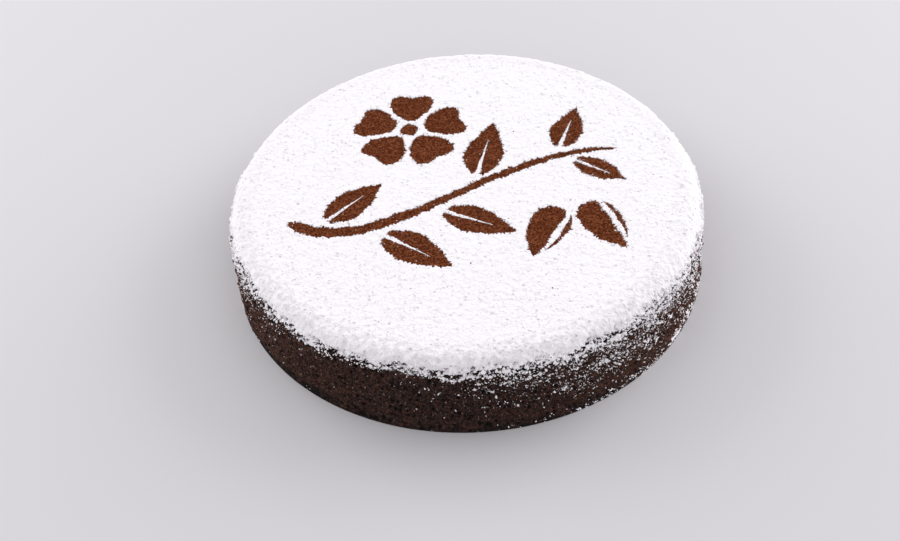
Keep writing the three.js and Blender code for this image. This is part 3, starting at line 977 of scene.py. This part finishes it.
def dot_outline(radius):
    """Circle about 0,0."""
    angle = spread(120)[1:] * TURN
    return radius * np.stack([np.cos(angle), np.sin(angle)], -1)


def stem_curve(share):
    """Cubic curve from four points, and its direction."""
    a, b, c, d = (np.array(p, float) for p in STEM["points"])
    t = np.asarray(share, float)[..., None]
    point = (1 - t) ** 3 * a + 3 * (1 - t) ** 2 * t * b + 3 * (1 - t) * t**2 * c + t**3 * d
    run = 3 * (1 - t) ** 2 * (b - a) + 6 * (1 - t) * t * (c - b) + 3 * t**2 * (d - c)
    return point, run / np.linalg.norm(run, axis=-1, keepdims=True)


def stem_width(share):
    """Width of the stem, which tapers from foot to tip."""
    return lerp(STEM["foot"], STEM["tip"], share)


def stem_outline():
    """Stroke along the stem's curve, which closes in at both ends."""
    share = spread(500)
    point, run = stem_curve(share)
    ends = (2 * share - 1) ** STROKE_SQUARENESS
    half = stem_width(share) / 2 * lerp(1, STROKE_ENDS, ends**2)
    beside = np.stack([run[:, 1], -run[:, 0]], -1) * half[:, None]
    return np.concatenate([point + beside, (point - beside)[::-1]])


def placed(outline, x, y, angle, away=0.0):
    """Turn an outline and move it, so far from x,y along its own direction."""
    c, s = math.cos(angle), math.sin(angle)
    return outline @ np.array([[c, s], [-s, c]]) + (x + away * c, y + away * s)


def stencil_outlines(stencil):
    """Name every cocoa piece and give its smooth outline on the cake, in mm, counter-clockwise."""
    outlines = {"cocoa_stem": stem_outline()}
    for k, leaf in enumerate(LEAVES, 1):
        foot, run = stem_curve(leaf.at)
        angle = math.atan2(run[1], run[0]) + leaf.side * math.radians(leaf.lean)
        away = LEAF_STANDOFF + stem_width(leaf.at) / 2
        outlines[f"cocoa_leaf_{k}"] = placed(leaf_outline(leaf.length, leaf.width), *foot, angle, away)
    middle = (BLOSSOM["x"], BLOSSOM["y"])
    petal = petal_outline(BLOSSOM["length"], BLOSSOM["width"])
    for k in range(BLOSSOM["petals"]):
        angle = math.pi / 2 + k / BLOSSOM["petals"] * TURN
        outlines[f"cocoa_petal_{k + 1}"] = placed(petal, *middle, angle, BLOSSOM["hole"])
    outlines["cocoa_eye"] = placed(dot_outline(BLOSSOM["eye"]), *middle, 0)
    for k, almond in enumerate(ALMONDS, 1):
        place = (almond.x, almond.y, math.radians(almond.angle))
        for part, outline in (("kernel", kernel_outline), ("rim", rim_outline)):
            outlines[f"cocoa_{part}_{k}"] = placed(outline(almond.length, almond.width), *place)
    middle = np.array(stencil.middle) / MM
    return {name: anticlockwise(placed(outline, *middle, stencil.turn)) for name, outline in outlines.items()}


def anticlockwise(outline):
    """Turn a closed outline round if its area comes out negative."""
    x, y = outline.T
    area = np.sum(x * np.roll(y, -1) - y * np.roll(x, -1))
    return outline if area > 0 else outline[::-1]


def even_steps(outline, step):
    """Walk a closed outline in even steps: the points, how far along each is, and the whole length."""
    ring = np.concatenate([outline, outline[:1]])
    far = np.concatenate([[0], np.cumsum(np.hypot(*np.diff(ring, axis=0).T))])
    at = np.linspace(0, far[-1], max(24, round(far[-1] / step)), endpoint=False)
    return np.stack([np.interp(at, far, axis) for axis in ring.T], -1), at, far[-1]


def outward(outline):
    """Normals of a closed anticlockwise outline."""
    run = np.roll(outline, -1, axis=0) - np.roll(outline, 1, axis=0)
    run = run / np.maximum(np.linalg.norm(run, axis=1, keepdims=True), 1e-9)
    return np.stack([run[:, 1], -run[:, 0]], -1)


def calm(outline, at, total):
    """From 0 to 1: how far an edge may stray, by the distance straight across to another stretch of it. A
    point is across where it is clearly nearer straight over than along the edge."""
    across = np.linalg.norm(outline[:, None] - outline[None], axis=-1)
    apart = np.abs(at[:, None] - at[None])
    apart = np.minimum(apart, total - apart)
    opposite = np.where((apart > 0) & (across < 0.7 * apart), across, 9 * ROOM)
    return np.clip(opposite.min(axis=1) / ROOM - 0.15, 0, 1)


def ragged_outline(outline, stencil, seed):
    """Move an outline in and out along its length: round lobes with sharp notches, teeth and slow waves."""
    points, at, total = even_steps(outline, stencil.step / MM)
    lobes = max(6, round(total / LOBE))
    nearest, second, own = cell_noise(at / total * lobes, 0 * at + 0.5, seed, lobes)
    stray = (0.5 + own) * np.sqrt(np.clip(second - nearest, 0, 1)) - 0.55
    for row, bumps in ((5, TEETH), (9, WAVES)):
        stray = stray + bumps["share"] * smooth_noise(at / bumps["step"], 0 * at + row, seed)
    return points + outward(points) * (stencil.ragged / MM * stray * calm(points, at, total))[:, None]


def prism(name, outline, low, high):
    """Upright prism over an outline, closed by one face below and one above."""
    count = len(outline)
    points = np.concatenate([np.column_stack([outline, np.full(count, z)]) for z in (low, high)])
    below = np.arange(count)[::-1][None]
    return new_mesh(name, points, below, below[:, ::-1] + count, quads(grid_numbers(2, count)))


def closed_below(name, above):
    """Mesh of a grid of points, closed by upright sides and one flat face on the powder's floor."""
    grid = grid_numbers(*above.shape[:2], wrap_columns=0)
    edge = np.concatenate([grid[0, :-1], grid[:-1, -1], grid[-1, :0:-1], grid[:0:-1, 0]])
    points = above.reshape(-1, 3)
    under = points[edge] * (1, 1, 0) + (0, 0, POWDER_FLOOR / MM)
    number = len(points) + np.arange(len(edge))
    sides = np.stack([number, np.roll(number, -1), np.roll(edge, -1), edge], -1)
    return new_mesh(name, np.concatenate([points, under]), quads(grid), sides, number[None, ::-1])


def squared_distance(points, others):
    """Squares of all the distances between two sets of points."""
    total = (points**2).sum(1)[:, None] + (others**2).sum(1)[None] - 2 * (points @ others.T)
    return np.maximum(total, 0)


def outline_distance(points, outlines):
    """Distance in the plane from each point to the nearest outline point, in blocks of points."""
    edge = np.concatenate(outlines)
    parts = np.array_split(points[:, :2], max(1, len(points) // 2000))
    return np.concatenate([np.sqrt(np.min(squared_distance(part, edge), axis=1)) for part in parts])


def edge_normals(outlines):
    """All the outlines' points and normals."""
    return np.concatenate(outlines), np.concatenate([outward(outline) for outline in outlines])


def outside(points, outlines, gap):
    """Whether each point lies outside all the outlines by a gap, judged at the nearest outline point."""
    edge, normals = edge_normals(outlines)
    nearest = np.argmin(squared_distance(points, edge), axis=1)
    return np.sum((points - edge[nearest]) * normals[nearest], axis=1) > gap


def ragged_outlines(context):
    """Every cocoa piece's ragged outline."""
    stencil = context.scene.cake_stencil
    smooth = enumerate(stencil_outlines(stencil).items(), RAGGED_SEED)
    return {name: ragged_outline(outline, stencil, seed) for seed, (name, outline) in smooth}


# ---- the pieces ----

# How many points a surface has round it and up or across it, and the step between the cocoa's points in mm.
WEDGES = 3
WEDGE_COLUMNS, WEDGE_ROWS = 640, 138
EDGE_COLUMNS, EDGE_ROWS = 1600, 54
TOP_POINTS = 261
COCOA_STEP = 0.6

# The wedges' base inside the wall, their first two rows, and their last row below the flat top, in mm.
BASE_INSET = 1.4
FIRST_ROWS = (0.3, 0.75)
LAST_ROW = 2.2

# Painted shade that darkens the crumb: creases of a depth, the hem's broken edge, and a painted shadow at the
# base up to a height, in mm.
CREASES = {"start": 0.5, "depth": 0.9}
HEM_SHADE = 2.4
BASE_SHADOW_HEIGHTS = (6.5, 0.5)

# The ring of sugar on the shoulder, in mm: how far past the flat top's start and below the shoulder's it
# runs, where its swells change over, where it is fuller, how its ends sink, and how it lies where it is thin.
EDGE_ENDS = {"past": 3.2, "below": 2.4}
SWELLS_CHANGE = 3
FULLER = {"by": 0.55, "height": 11.5, "width": 3.2}
SUNK_ENDS = {"high": 0.5, "high_run": 1.2, "low": 1.2, "low_run": 1.0}
THIN = {"depths": (-0.6, 0.34), "levels": (-0.5, 0.7), "swells": 0.5}
INNER_DEPTHS = (-2.4, -2.0, -1.2, -0.2)

# The shares of cover over which the ring grows thick, takes its full form, and closes up.
THICKENS = {"from": 0.5, "shares": (0.7, 1.0)}
FULL_SHARES = (0.82, 1.0)
CLOSES = {"level": 1.2, "more": 3, "shares": (0.9, 1.0)}

# The flat top's rim and the windows' cutter in mm, and the cocoa dust beside the stencil.
TOP_RIM = {"inset": 0.7, "sunk": 0.35, "run": 1.4}
CUT_BELOW, CUT_ABOVE = 0.5, 1
COCOA_DUST = {"most": 0.42, "fade": 0.9, "less": 0.02}

# The cocoa slab's margin in mm, and how thin cocoa is at a left and a right edge, on the right and all over.
COCOA_MARGIN = 1.3
COCOA_THIN = {"edge": (0.22, 0.36), "fade": 0.8, "right": 0.12, "all": 0.08, "span": (0, 80)}

# The levels of a spot that surely holds sugar and of one that holds none, and the dusting that shows nothing.
COVERED = 9.0
BARE = -4.0
NONE = -1.0

# The heights in mm over which loose crumbs become likely and grains grow to full size.
CRUMBS_START = (2, 12)
GRAINS_GROW = (2, 8)

# How likely grains are in loose sugar and at the hem, and how narrow the belt of clumps is.
GRAIN_CHANCES = {"loose": 0.9, "hem": 0.8}
CLUMP_BELT = 1.5

# A loose crumb's level, from the sugar's share and the height within it, and the shade of its underside.
LOOSE_CRUMB = {"share": 1.5, "lift": 4, "shade": 0.6, "below": -2}

# Specks and stray grains in mm: mean sizes, how clear of the stencil and of the rim, and how far they stray.
SPECK = {"size": 0.52, "clear": 2.0, "inset": 4}
STRAY = {"size": 0.34, "reach": 0.5}


def build_crumb(context):
    """Three wedges of one surface of turn and distance up: the body's profile, moved out along its normal by
    the crumb's relief, and closed along the axis."""
    body = Body(context.scene.cake_shape)
    up = np.linspace(FIRST_ROWS[1], body.flat - LAST_ROW, WEDGE_ROWS)
    up = np.concatenate([FIRST_ROWS[:1], up])[:, None]
    number = np.arange(-1, WEDGE_COLUMNS + 2)
    for wedge in range(WEDGES):
        turn, rows = np.broadcast_arrays((number / WEDGE_COLUMNS + wedge)[None] / WEDGES, up)
        out = body.crumb(turn, rows)
        points = body.point(turn, rows, out)
        hem = hem_share(body, turn, rows)
        # The hollow mark is painted shade: in creases, below the hem's broken edge and as a shadow at the
        # base.
        creases = (body.crags(turn, rows) + CREASES["start"] - out) / CREASES["depth"]
        damp = round_wall(turn, WALL.damp) * ramp(*BASE_SHADOW_HEIGHTS, rows)
        marks = {
            "level": sugar_level(body, turn, rows, slope_up(points)),
            "hollow": np.clip(creases + HEM_SHADE * hem * (1 - hem) + damp, 0, 1),
            "dry": side_light_share(turn),
            "rough": body.roughness(turn, rows),
        }
        base = body.point(turn[:1], 0, -BASE_INSET) * (1, 1, 0)
        grid = np.concatenate([base, points, body.point(turn[:1], body.flat, 0)])[:, 1:-1]
        mesh = new_mesh(f"crumb_wedge_{wedge + 1}", *wedge_mesh(grid, body.top))
        padded = {key: np.pad(values[:, 1:-1], ((1, 1), (0, 0))) for key, values in marks.items()}
        mark(mesh, **{key: np.append(values, (0, 0)) for key, values in padded.items()})
        finish_piece(new_object(mesh), "crumb", ["cake_crumb"])


def wedge_mesh(grid, top):
    """Points and faces of a wedge: a grid of rows that runs up round its outside, poles on the axis below and
    above, and one flat face through the axis at each end."""
    number = grid_numbers(*grid.shape[:2], wrap_columns=0)
    low, high = number.size, number.size + 1
    points = np.concatenate([grid.reshape(-1, 3), [(0, 0, 0), (0, 0, top)]])
    first, last = (np.concatenate([[low], number[:, column], [high]]) for column in (0, -1))
    below, above = fan(low, number[0])[:, [0, 2, 1]], fan(high, number[-1])
    return points, quads(number), below, above, first[None], last[None, ::-1]


def build_sugar_edge(context):
    """Ring of turn and distance up, closed both ways: sugar that hides the nuggets where it lies thick,
    follows them along its hem, and dips under them where a spot holds none. Its inner side lies within the
    crumb."""
    body = Body(context.scene.cake_shape)
    high, low = body.flat + EDGE_ENDS["past"], body.start - EDGE_ENDS["below"]
    turn = (np.arange(EDGE_COLUMNS) / EDGE_COLUMNS)[None]
    turn, up = np.broadcast_arrays(turn, np.linspace(high, low, EDGE_ROWS)[::-1, None])
    crumb_out = body.crumb(turn, up)
    level = sugar_level(body, turn, up, slope_up(body.point(turn, up, crumb_out)))
    share = hem_share(body, turn, up)
    x, y, _ = np.moveaxis(body.point(turn, up, 0), -1, 0)
    on_top = ramp(SWELLS_CHANGE, 0, body.flat - up)
    fine = lerp(relief(turn, up, *SHOULDER_SWELLS), swell(x, y, TOP_SWELLS), on_top)
    thick = body.gap + body.thickness * lerp(THICKENS["from"], 1.0, ramp(*THICKENS["shares"], share))
    fuller = FULLER["by"] * bell((up - body.start - FULLER["height"]) / FULLER["width"])
    full = body.crags(turn, up) + thick + fuller + fine
    thin = crumb_out + lerp(*THIN["depths"], ramp(*THIN["levels"], level)) + THIN["swells"] * fine
    out = lerp(thin, full, ramp(*FULL_SHARES, share))
    out = out - SUNK_ENDS["high"] * ramp(SUNK_ENDS["high_run"], 0, high - up)
    out = out - SUNK_ENDS["low"] * ramp(low + SUNK_ENDS["low_run"], low, up)
    inner_up = np.array([low, body.start + 2, body.start + body.arc * 0.6, high - 0.6])[:, None]
    inner = body.point(turn[:1], inner_up, np.array(INNER_DEPTHS)[:, None])
    grid = np.concatenate([body.point(turn, up, out), inner])
    mesh = new_mesh("sugar_edge", grid.reshape(-1, 3), quads(grid_numbers(*grid.shape[:2], wrap_rows=1)))
    inside = ((0, len(inner)), (0, 0))
    level = level + CLOSES["level"] + CLOSES["more"] * ramp(*CLOSES["shares"], share)
    shown = np.pad(level, inside, constant_values=BARE)
    mark(mesh, level=shown, sheer=np.pad(sheerness_and_shade(body, turn, up), inside), cocoa_near=NONE)
    finish_piece(new_object(mesh), "sugar", ["icing_sugar"])


def disc_grid(count, radius):
    """Map a square grid to a disc: a point's ring is the larger of its two coordinates, and its place along
    the side gives its angle."""
    a, b = np.meshgrid(np.linspace(-1, 1, count), np.linspace(-1, 1, count))
    wide = np.abs(a) > np.abs(b)
    ring = np.where(wide, a, b)
    share = np.where(wide, b, a) / np.where(ring == 0, 1, ring)
    angle = np.where(wide, share * np.pi / 4, np.pi / 2 - share * np.pi / 4)
    return radius * ring * np.cos(angle), radius * ring * np.sin(angle)


def build_sugar_top(context, outlines):
    """Disc mapped from a square grid, with the sugar's swells as its height, closed below, and cut by a
    window for each cocoa piece."""
    radius = Body(context.scene.cake_shape).middle - TOP_RIM["inset"]
    top = context.scene.cake_shape.height / MM
    x, y = disc_grid(TOP_POINTS, radius)
    sunk = TOP_RIM["sunk"] * ramp(radius - TOP_RIM["run"], radius, np.hypot(x, y))
    z = top + swell(x, y, TOP_SWELLS) - sunk
    piece = new_object(closed_below("sugar_top", np.stack([x, y, z], -1)))
    low, high = POWDER_FLOOR / MM - CUT_BELOW, top + CUT_ABOVE
    windows = [new_object(prism(f"window_{name}", outline, low, high)) for name, outline in outlines.items()]
    with bpy.context.temp_override(active_object=windows[0], selected_editable_objects=windows):
        bpy.ops.object.join()
    trim(piece, windows[0], "DIFFERENCE")
    distance = outline_distance(mesh_points(piece.data), list(outlines.values()))
    near = COCOA_DUST["most"] * np.exp(-distance / COCOA_DUST["fade"]) - COCOA_DUST["less"]
    mark(piece.data, level=COVERED, sheer=0.0, cocoa_near=near)
    finish_piece(piece, "sugar", ["icing_sugar"])


def cocoa_top(context):
    """Height of the cocoa's surface in mm."""
    return (context.scene.cake_shape.height - context.scene.cake_stencil.recess) / MM


def build_cocoa(context, name, outline):
    """Slab with the cocoa's fine swells above, trimmed to the piece's ragged outline. It is thin along its
    edges, and all over towards the right."""
    top = cocoa_top(context)
    low, high = outline.min(axis=0) - COCOA_MARGIN, outline.max(axis=0) + COCOA_MARGIN
    columns, rows = np.ceil((high - low) / COCOA_STEP).astype(int) + 1
    x, y = np.meshgrid(np.linspace(low[0], high[0], columns), np.linspace(low[1], high[1], rows))
    piece = new_object(closed_below(f"{name}_powder", np.stack([x, y, top + swell(x, y, COCOA_SWELLS)], -1)))
    trim(piece, new_object(prism("trim", outline, POWDER_FLOOR / MM - 1, top + 2)), "INTERSECT")
    points = mesh_points(piece.data)
    at_edge = np.exp(-outline_distance(points, [outline]) / COCOA_THIN["fade"])
    at_right = ramp(*COCOA_THIN["span"], points[:, 0])
    thin = lerp(*COCOA_THIN["edge"], at_right) * at_edge + COCOA_THIN["right"] * at_right + COCOA_THIN["all"]
    mark(piece.data, thin=thin)
    finish_piece(piece, "cocoa", [name])


def wall_lumps(context, name, seed, lumps, chance, low, past, lift=0.02, least=1.0, **form):
    """Scatter lumps over the wall from a height to a distance past the shoulder's start: draw spots at
    random, keep each with its chance, and set a lump of random size there. Gives the mesh, the spots, the
    lumps' middles and their sizes."""
    body = Body(context.scene.cake_shape)
    rng = np.random.default_rng(seed)
    count, mean = lumps
    draws = count * DRAWS_PER_LUMP
    turn = rng.uniform(0, 1, draws)
    up = rng.uniform(low, body.start + past, draws)
    kept = rng.uniform(0, 1, draws) < chance(body, turn, up)
    turn, up = turn[kept][:count], up[kept][:count]
    normals = body.point(turn, up, 1.0) - body.point(turn, up, 0.0)
    sizes = lump_sizes(rng, len(turn), mean / MM) * lerp(least, 1.0, ramp(*GRAINS_GROW, up))
    centres = body.point(turn, up, body.crumb(turn, up) + lift * sizes)
    return scatter(name, centres, sizes, rng, normals=normals, **form), body, turn, up, centres, sizes


def grain_chance(body, turn, up):
    """Chance of a grain: as the share that loose sugar covers, and near the hem."""
    hem = hem_share(body, turn, up)
    return (GRAIN_CHANCES["loose"] * wall_share(body, turn, up) + GRAIN_CHANCES["hem"] * hem) * (1 - hem)


def clump_chance(body, turn, up):
    """Chance of a clump: highest where the hem covers half the surface."""
    hem = hem_share(body, turn, up)
    return (4 * hem * (1 - hem)) ** CLUMP_BELT


def crumb_chance(body, turn, up):
    """Chance of a loose crumb: even, less near the base and under the sugar."""
    return ramp(*CRUMBS_START, up) * (1 - hem_share(body, turn, up))


def build_grains(context):
    """Grains of sugar on the wall and the foot: knobbly flakes, most where the wall caught more sugar."""
    dust = context.scene.cake_dust
    form = {"shape": (5, 2), "knobbly": 0.35, "flatness": 0.6, "long": 2.1, "lift": 0.1, "least": 0.75}
    lumps = (dust.grains, dust.grain_size)
    mesh, *_ = wall_lumps(context, "sugar_grains", 7, lumps, grain_chance, low=0.5, past=9, **form)
    mark(mesh, level=COVERED, cocoa_near=NONE)
    finish_piece(new_object(mesh), "sugar", smooth=False)


def build_clumps(context):
    """Clumps of sugar along the hem: flattened, knobbly lumps."""
    dust = context.scene.cake_dust
    form = {"shape": (6, 3), "knobbly": 0.32, "flatness": 0.5}
    low = Body(context.scene.cake_shape).start - 3
    lumps = (dust.clumps, dust.clump_size)
    mesh, *_ = wall_lumps(context, "sugar_clumps", 8, lumps, clump_chance, low=low, past=11, **form)
    mark(mesh, level=COVERED, cocoa_near=NONE)
    finish_piece(new_object(mesh), "sugar")


def build_loose_crumbs(context):
    """Crumbs that stand off the wall: small knobbly lumps, fewer near the base, with sugar on top."""
    dust = context.scene.cake_dust
    form = {"shape": (7, 3), "knobbly": 0.25, "flatness": 0.75}
    lumps = (dust.crumbs, dust.crumb_size)
    made = wall_lumps(context, "loose_crumbs", 9, lumps, crumb_chance, low=1.5, past=10, **form)
    mesh, body, turn, up, centres, sizes = made
    points = mesh_points(mesh).reshape(len(turn), -1, 3)
    lift = (points[..., 2] - centres[:, None, 2]) / sizes[:, None]
    level = LOOSE_CRUMB["share"] * probit(sugar_share(body, turn, up))[:, None] + LOOSE_CRUMB["lift"] * lift
    # The hollow mark here is painted shade on the crumb's underside.
    hollow = LOOSE_CRUMB["shade"] * np.clip(LOOSE_CRUMB["below"] * lift, 0, 1)
    mark(mesh, level=level, hollow=hollow, dry=side_light_share(turn)[:, None] + 0 * lift, rough=1.0)
    finish_piece(new_object(mesh), "crumb", smooth=False)


def build_specks(context, outlines):
    """Dark specks on the sugar: flat lumps of crumb, clear of the stencil."""
    rng = np.random.default_rng(10)
    count = context.scene.cake_dust.specks
    angle = rng.uniform(0, TURN, 3 * count)
    reach = Body(context.scene.cake_shape).middle - SPECK["inset"]
    radius = reach * np.sqrt(rng.uniform(0, 1, 3 * count))
    spots = np.stack([radius * np.cos(angle), radius * np.sin(angle)], -1)
    spots = spots[outside(spots, list(outlines.values()), SPECK["clear"])][:count]
    z = context.scene.cake_shape.height / MM + swell(*spots.T, TOP_SWELLS)
    normals = np.tile((0.0, 0.0, 1.0), (len(spots), 1))
    sizes = lump_sizes(rng, len(spots), SPECK["size"])
    mesh = scatter("dark_specks", np.column_stack([spots, z]), sizes, rng, normals=normals, flatness=0.5)
    # The specks get a little painted shade, and half the painted side light.
    mark(mesh, level=BARE, hollow=0.3, dry=0.5, rough=1.0)
    finish_piece(new_object(mesh), "crumb", smooth=False)


def build_edge_grains(context, outlines):
    """Stray grains along the stencil: sugar just inside its edges, and cocoa just outside."""
    count = context.scene.cake_dust.edge_grains
    rng = np.random.default_rng(11)
    edge, normals = edge_normals(list(outlines.values()))
    sugar_top = context.scene.cake_shape.height / MM
    for slot, side, top, layers in (
        ("sugar", -1, cocoa_top(context), COCOA_SWELLS),
        ("cocoa", 1, sugar_top, TOP_SWELLS),
    ):
        pick = rng.integers(0, len(edge), count)
        away = rng.exponential(STRAY["reach"], count)
        spots = edge[pick] + side * normals[pick] * away[:, None]
        centres = np.column_stack([spots, top + swell(*spots.T, layers)])
        mesh = scatter(f"stray_{slot}", centres, lump_sizes(rng, count, STRAY["size"]), rng)
        mark(mesh, level=COVERED, cocoa_near=NONE, thin=NONE)
        finish_piece(new_object(mesh), slot, smooth=False)


# ---- the stage ----

# The soft lights: bearing and height above the horizon in degrees, distance and size in metres, and power in
# watts.
LAMPS = {
    "left_light": {"bearing": 150, "rise": 22, "away": 1.4, "size": (1.2, 1.0), "power": 10.4},
    "right_light": {"bearing": 25, "rise": 22, "away": 1.4, "size": (1.2, 1.0), "power": 12.4},
    "front_light": {"bearing": -90, "rise": 25, "away": 1.6, "size": (1.6, 1.0), "power": 2.5},
}
SKY_COLOUR = (1.0, 0.99, 1.0, 1.0)
FLOOR_REACH = 3000.0
FLOOR_LEVEL = -0.05


def camera_matrix(stage):
    """Place the camera: looking ahead along +Y, panned, pitched down and rolled."""
    flat = math.cos(stage.pitch)
    ahead = Vector((math.sin(stage.pan) * flat, math.cos(stage.pan) * flat, -math.sin(stage.pitch)))
    right = ahead.cross(Vector((0, 0, 1))).normalized()
    up = right.cross(ahead)
    c, s = math.cos(stage.roll), math.sin(stage.roll)
    turned = Matrix((right * c - up * s, right * s + up * c, -ahead)).transposed().to_4x4()
    return Matrix.Translation(Vector(stage.eye)) @ turned


def add_lamp(name, lamp, strength):
    """Add a wide soft light at a bearing and a height above the horizon, aimed at the cake."""
    light = bpy.data.lights.new(name, "AREA")
    light.shape = "RECTANGLE"
    light.size, light.size_y = lamp["size"]
    light.energy = lamp["power"] * strength
    bearing, rise = math.radians(lamp["bearing"]), math.radians(lamp["rise"])
    flat = lamp["away"] * math.cos(rise)
    place = Vector((flat * math.cos(bearing), flat * math.sin(bearing), lamp["away"] * math.sin(rise)))
    turned = place.to_track_quat("Z", "Y").to_matrix().to_4x4()
    new_object(light).matrix_world = Matrix.Translation(place) @ turned


def build_stage(context):
    """Make the floor, the lights, the surroundings and the camera."""
    scene = context.scene
    stage = scene.cake_stage
    x, y = np.meshgrid((-FLOOR_REACH, FLOOR_REACH), (-FLOOR_REACH, FLOOR_REACH))
    corners = np.stack([x, y, np.full_like(x, FLOOR_LEVEL)], -1).reshape(-1, 3)
    floor = new_object(new_mesh("floor", corners, np.array([[0, 1, 3, 2]])))
    nodes, shader = new_material("floor", roughness=0.6, specular=0.2)
    nodes.fill(shader, {"Base Color": (*stage.floor, 1.0)})
    floor.data.materials.append(bpy.data.materials["floor"])

    for name, lamp in LAMPS.items():
        add_lamp(name, lamp, stage.lamps)

    world = bpy.data.worlds.new("surroundings")
    world.use_nodes = True
    background = world.node_tree.nodes["Background"]
    background.inputs["Color"].default_value = SKY_COLOUR
    background.inputs["Strength"].default_value = stage.sky
    scene.world = world

    camera = bpy.data.cameras.new("camera")
    camera.sensor_width = 36
    camera.lens = stage.focal_length
    camera.clip_start = 0.01
    scene.camera = new_object(camera)
    scene.camera.matrix_world = camera_matrix(stage)
    scene.view_settings.view_transform = "Standard"


# ---- operators ----


class CAKE_OT_crumb(bpy.types.Operator):
    """Build the cake's crumb and the loose crumbs on it"""

    bl_idname = "cake.crumb"
    bl_label = "Crumb"

    def execute(self, context):
        build_crumb(context)
        build_loose_crumbs(context)
        return {"FINISHED"}


class CAKE_OT_sugar(bpy.types.Operator):
    """Dust the cake with icing sugar, with windows for the cocoa"""

    bl_idname = "cake.sugar"
    bl_label = "Icing sugar"

    def execute(self, context):
        build_sugar_top(context, ragged_outlines(context))
        build_sugar_edge(context)
        return {"FINISHED"}


class CAKE_OT_sugar_grains(bpy.types.Operator):
    """Scatter clumps along the sugar's hem and grains on the wall"""

    bl_idname = "cake.sugar_grains"
    bl_label = "Sugar grains"

    def execute(self, context):
        build_clumps(context)
        build_grains(context)
        return {"FINISHED"}


class CAKE_OT_cocoa(bpy.types.Operator):
    """Lay the cocoa pieces of the stencil into their windows"""

    bl_idname = "cake.cocoa"
    bl_label = "Cocoa"

    def execute(self, context):
        for name, outline in ragged_outlines(context).items():
            build_cocoa(context, name, outline)
        return {"FINISHED"}


class CAKE_OT_strays(bpy.types.Operator):
    """Scatter stray grains along the stencil and dark specks on the sugar"""

    bl_idname = "cake.strays"
    bl_label = "Stray grains"

    def execute(self, context):
        outlines = ragged_outlines(context)
        build_edge_grains(context, outlines)
        build_specks(context, outlines)
        return {"FINISHED"}


class CAKE_OT_stage(bpy.types.Operator):
    """Make the floor, the lights and the camera"""

    bl_idname = "cake.stage"
    bl_label = "Stage"

    def execute(self, context):
        build_stage(context)
        return {"FINISHED"}


class CAKE_PT_sidebar(bpy.types.Panel):
    """Lists the steps that build the cake"""

    bl_idname = "CAKE_PT_sidebar"
    bl_label = "Torta caprese"
    bl_space_type = "VIEW_3D"
    bl_region_type = "UI"
    bl_category = "Cake"

    def draw(self, context):
        for operator in STEPS:
            self.layout.operator(operator.bl_idname)


GROUPS = {
    "cake_shape": CakeShape,
    "cake_stencil": StencilShape,
    "cake_dust": DustLook,
    "cake_palette": Palette,
    "cake_stage": StageLook,
}
STEPS = (CAKE_OT_stage, CAKE_OT_crumb, CAKE_OT_sugar, CAKE_OT_sugar_grains, CAKE_OT_cocoa, CAKE_OT_strays)
CLASSES = (*GROUPS.values(), *STEPS, CAKE_PT_sidebar)


def register():
    """Register the classes and hang each group of properties on the scene."""
    for kind in CLASSES:
        bpy.utils.register_class(kind)
    for name, kind in GROUPS.items():
        setattr(bpy.types.Scene, name, PointerProperty(type=kind))


def unregister():
    """Undo what register does."""
    for name in GROUPS:
        delattr(bpy.types.Scene, name)
    for kind in reversed(CLASSES):
        bpy.utils.unregister_class(kind)


def main():
    """Build the cake and its stage."""
    register()
    bpy.ops.cake.stage()
    bpy.ops.cake.crumb()
    bpy.ops.cake.sugar()
    bpy.ops.cake.sugar_grains()
    bpy.ops.cake.cocoa()
    bpy.ops.cake.strays()


if __name__ == "__main__":
    main()
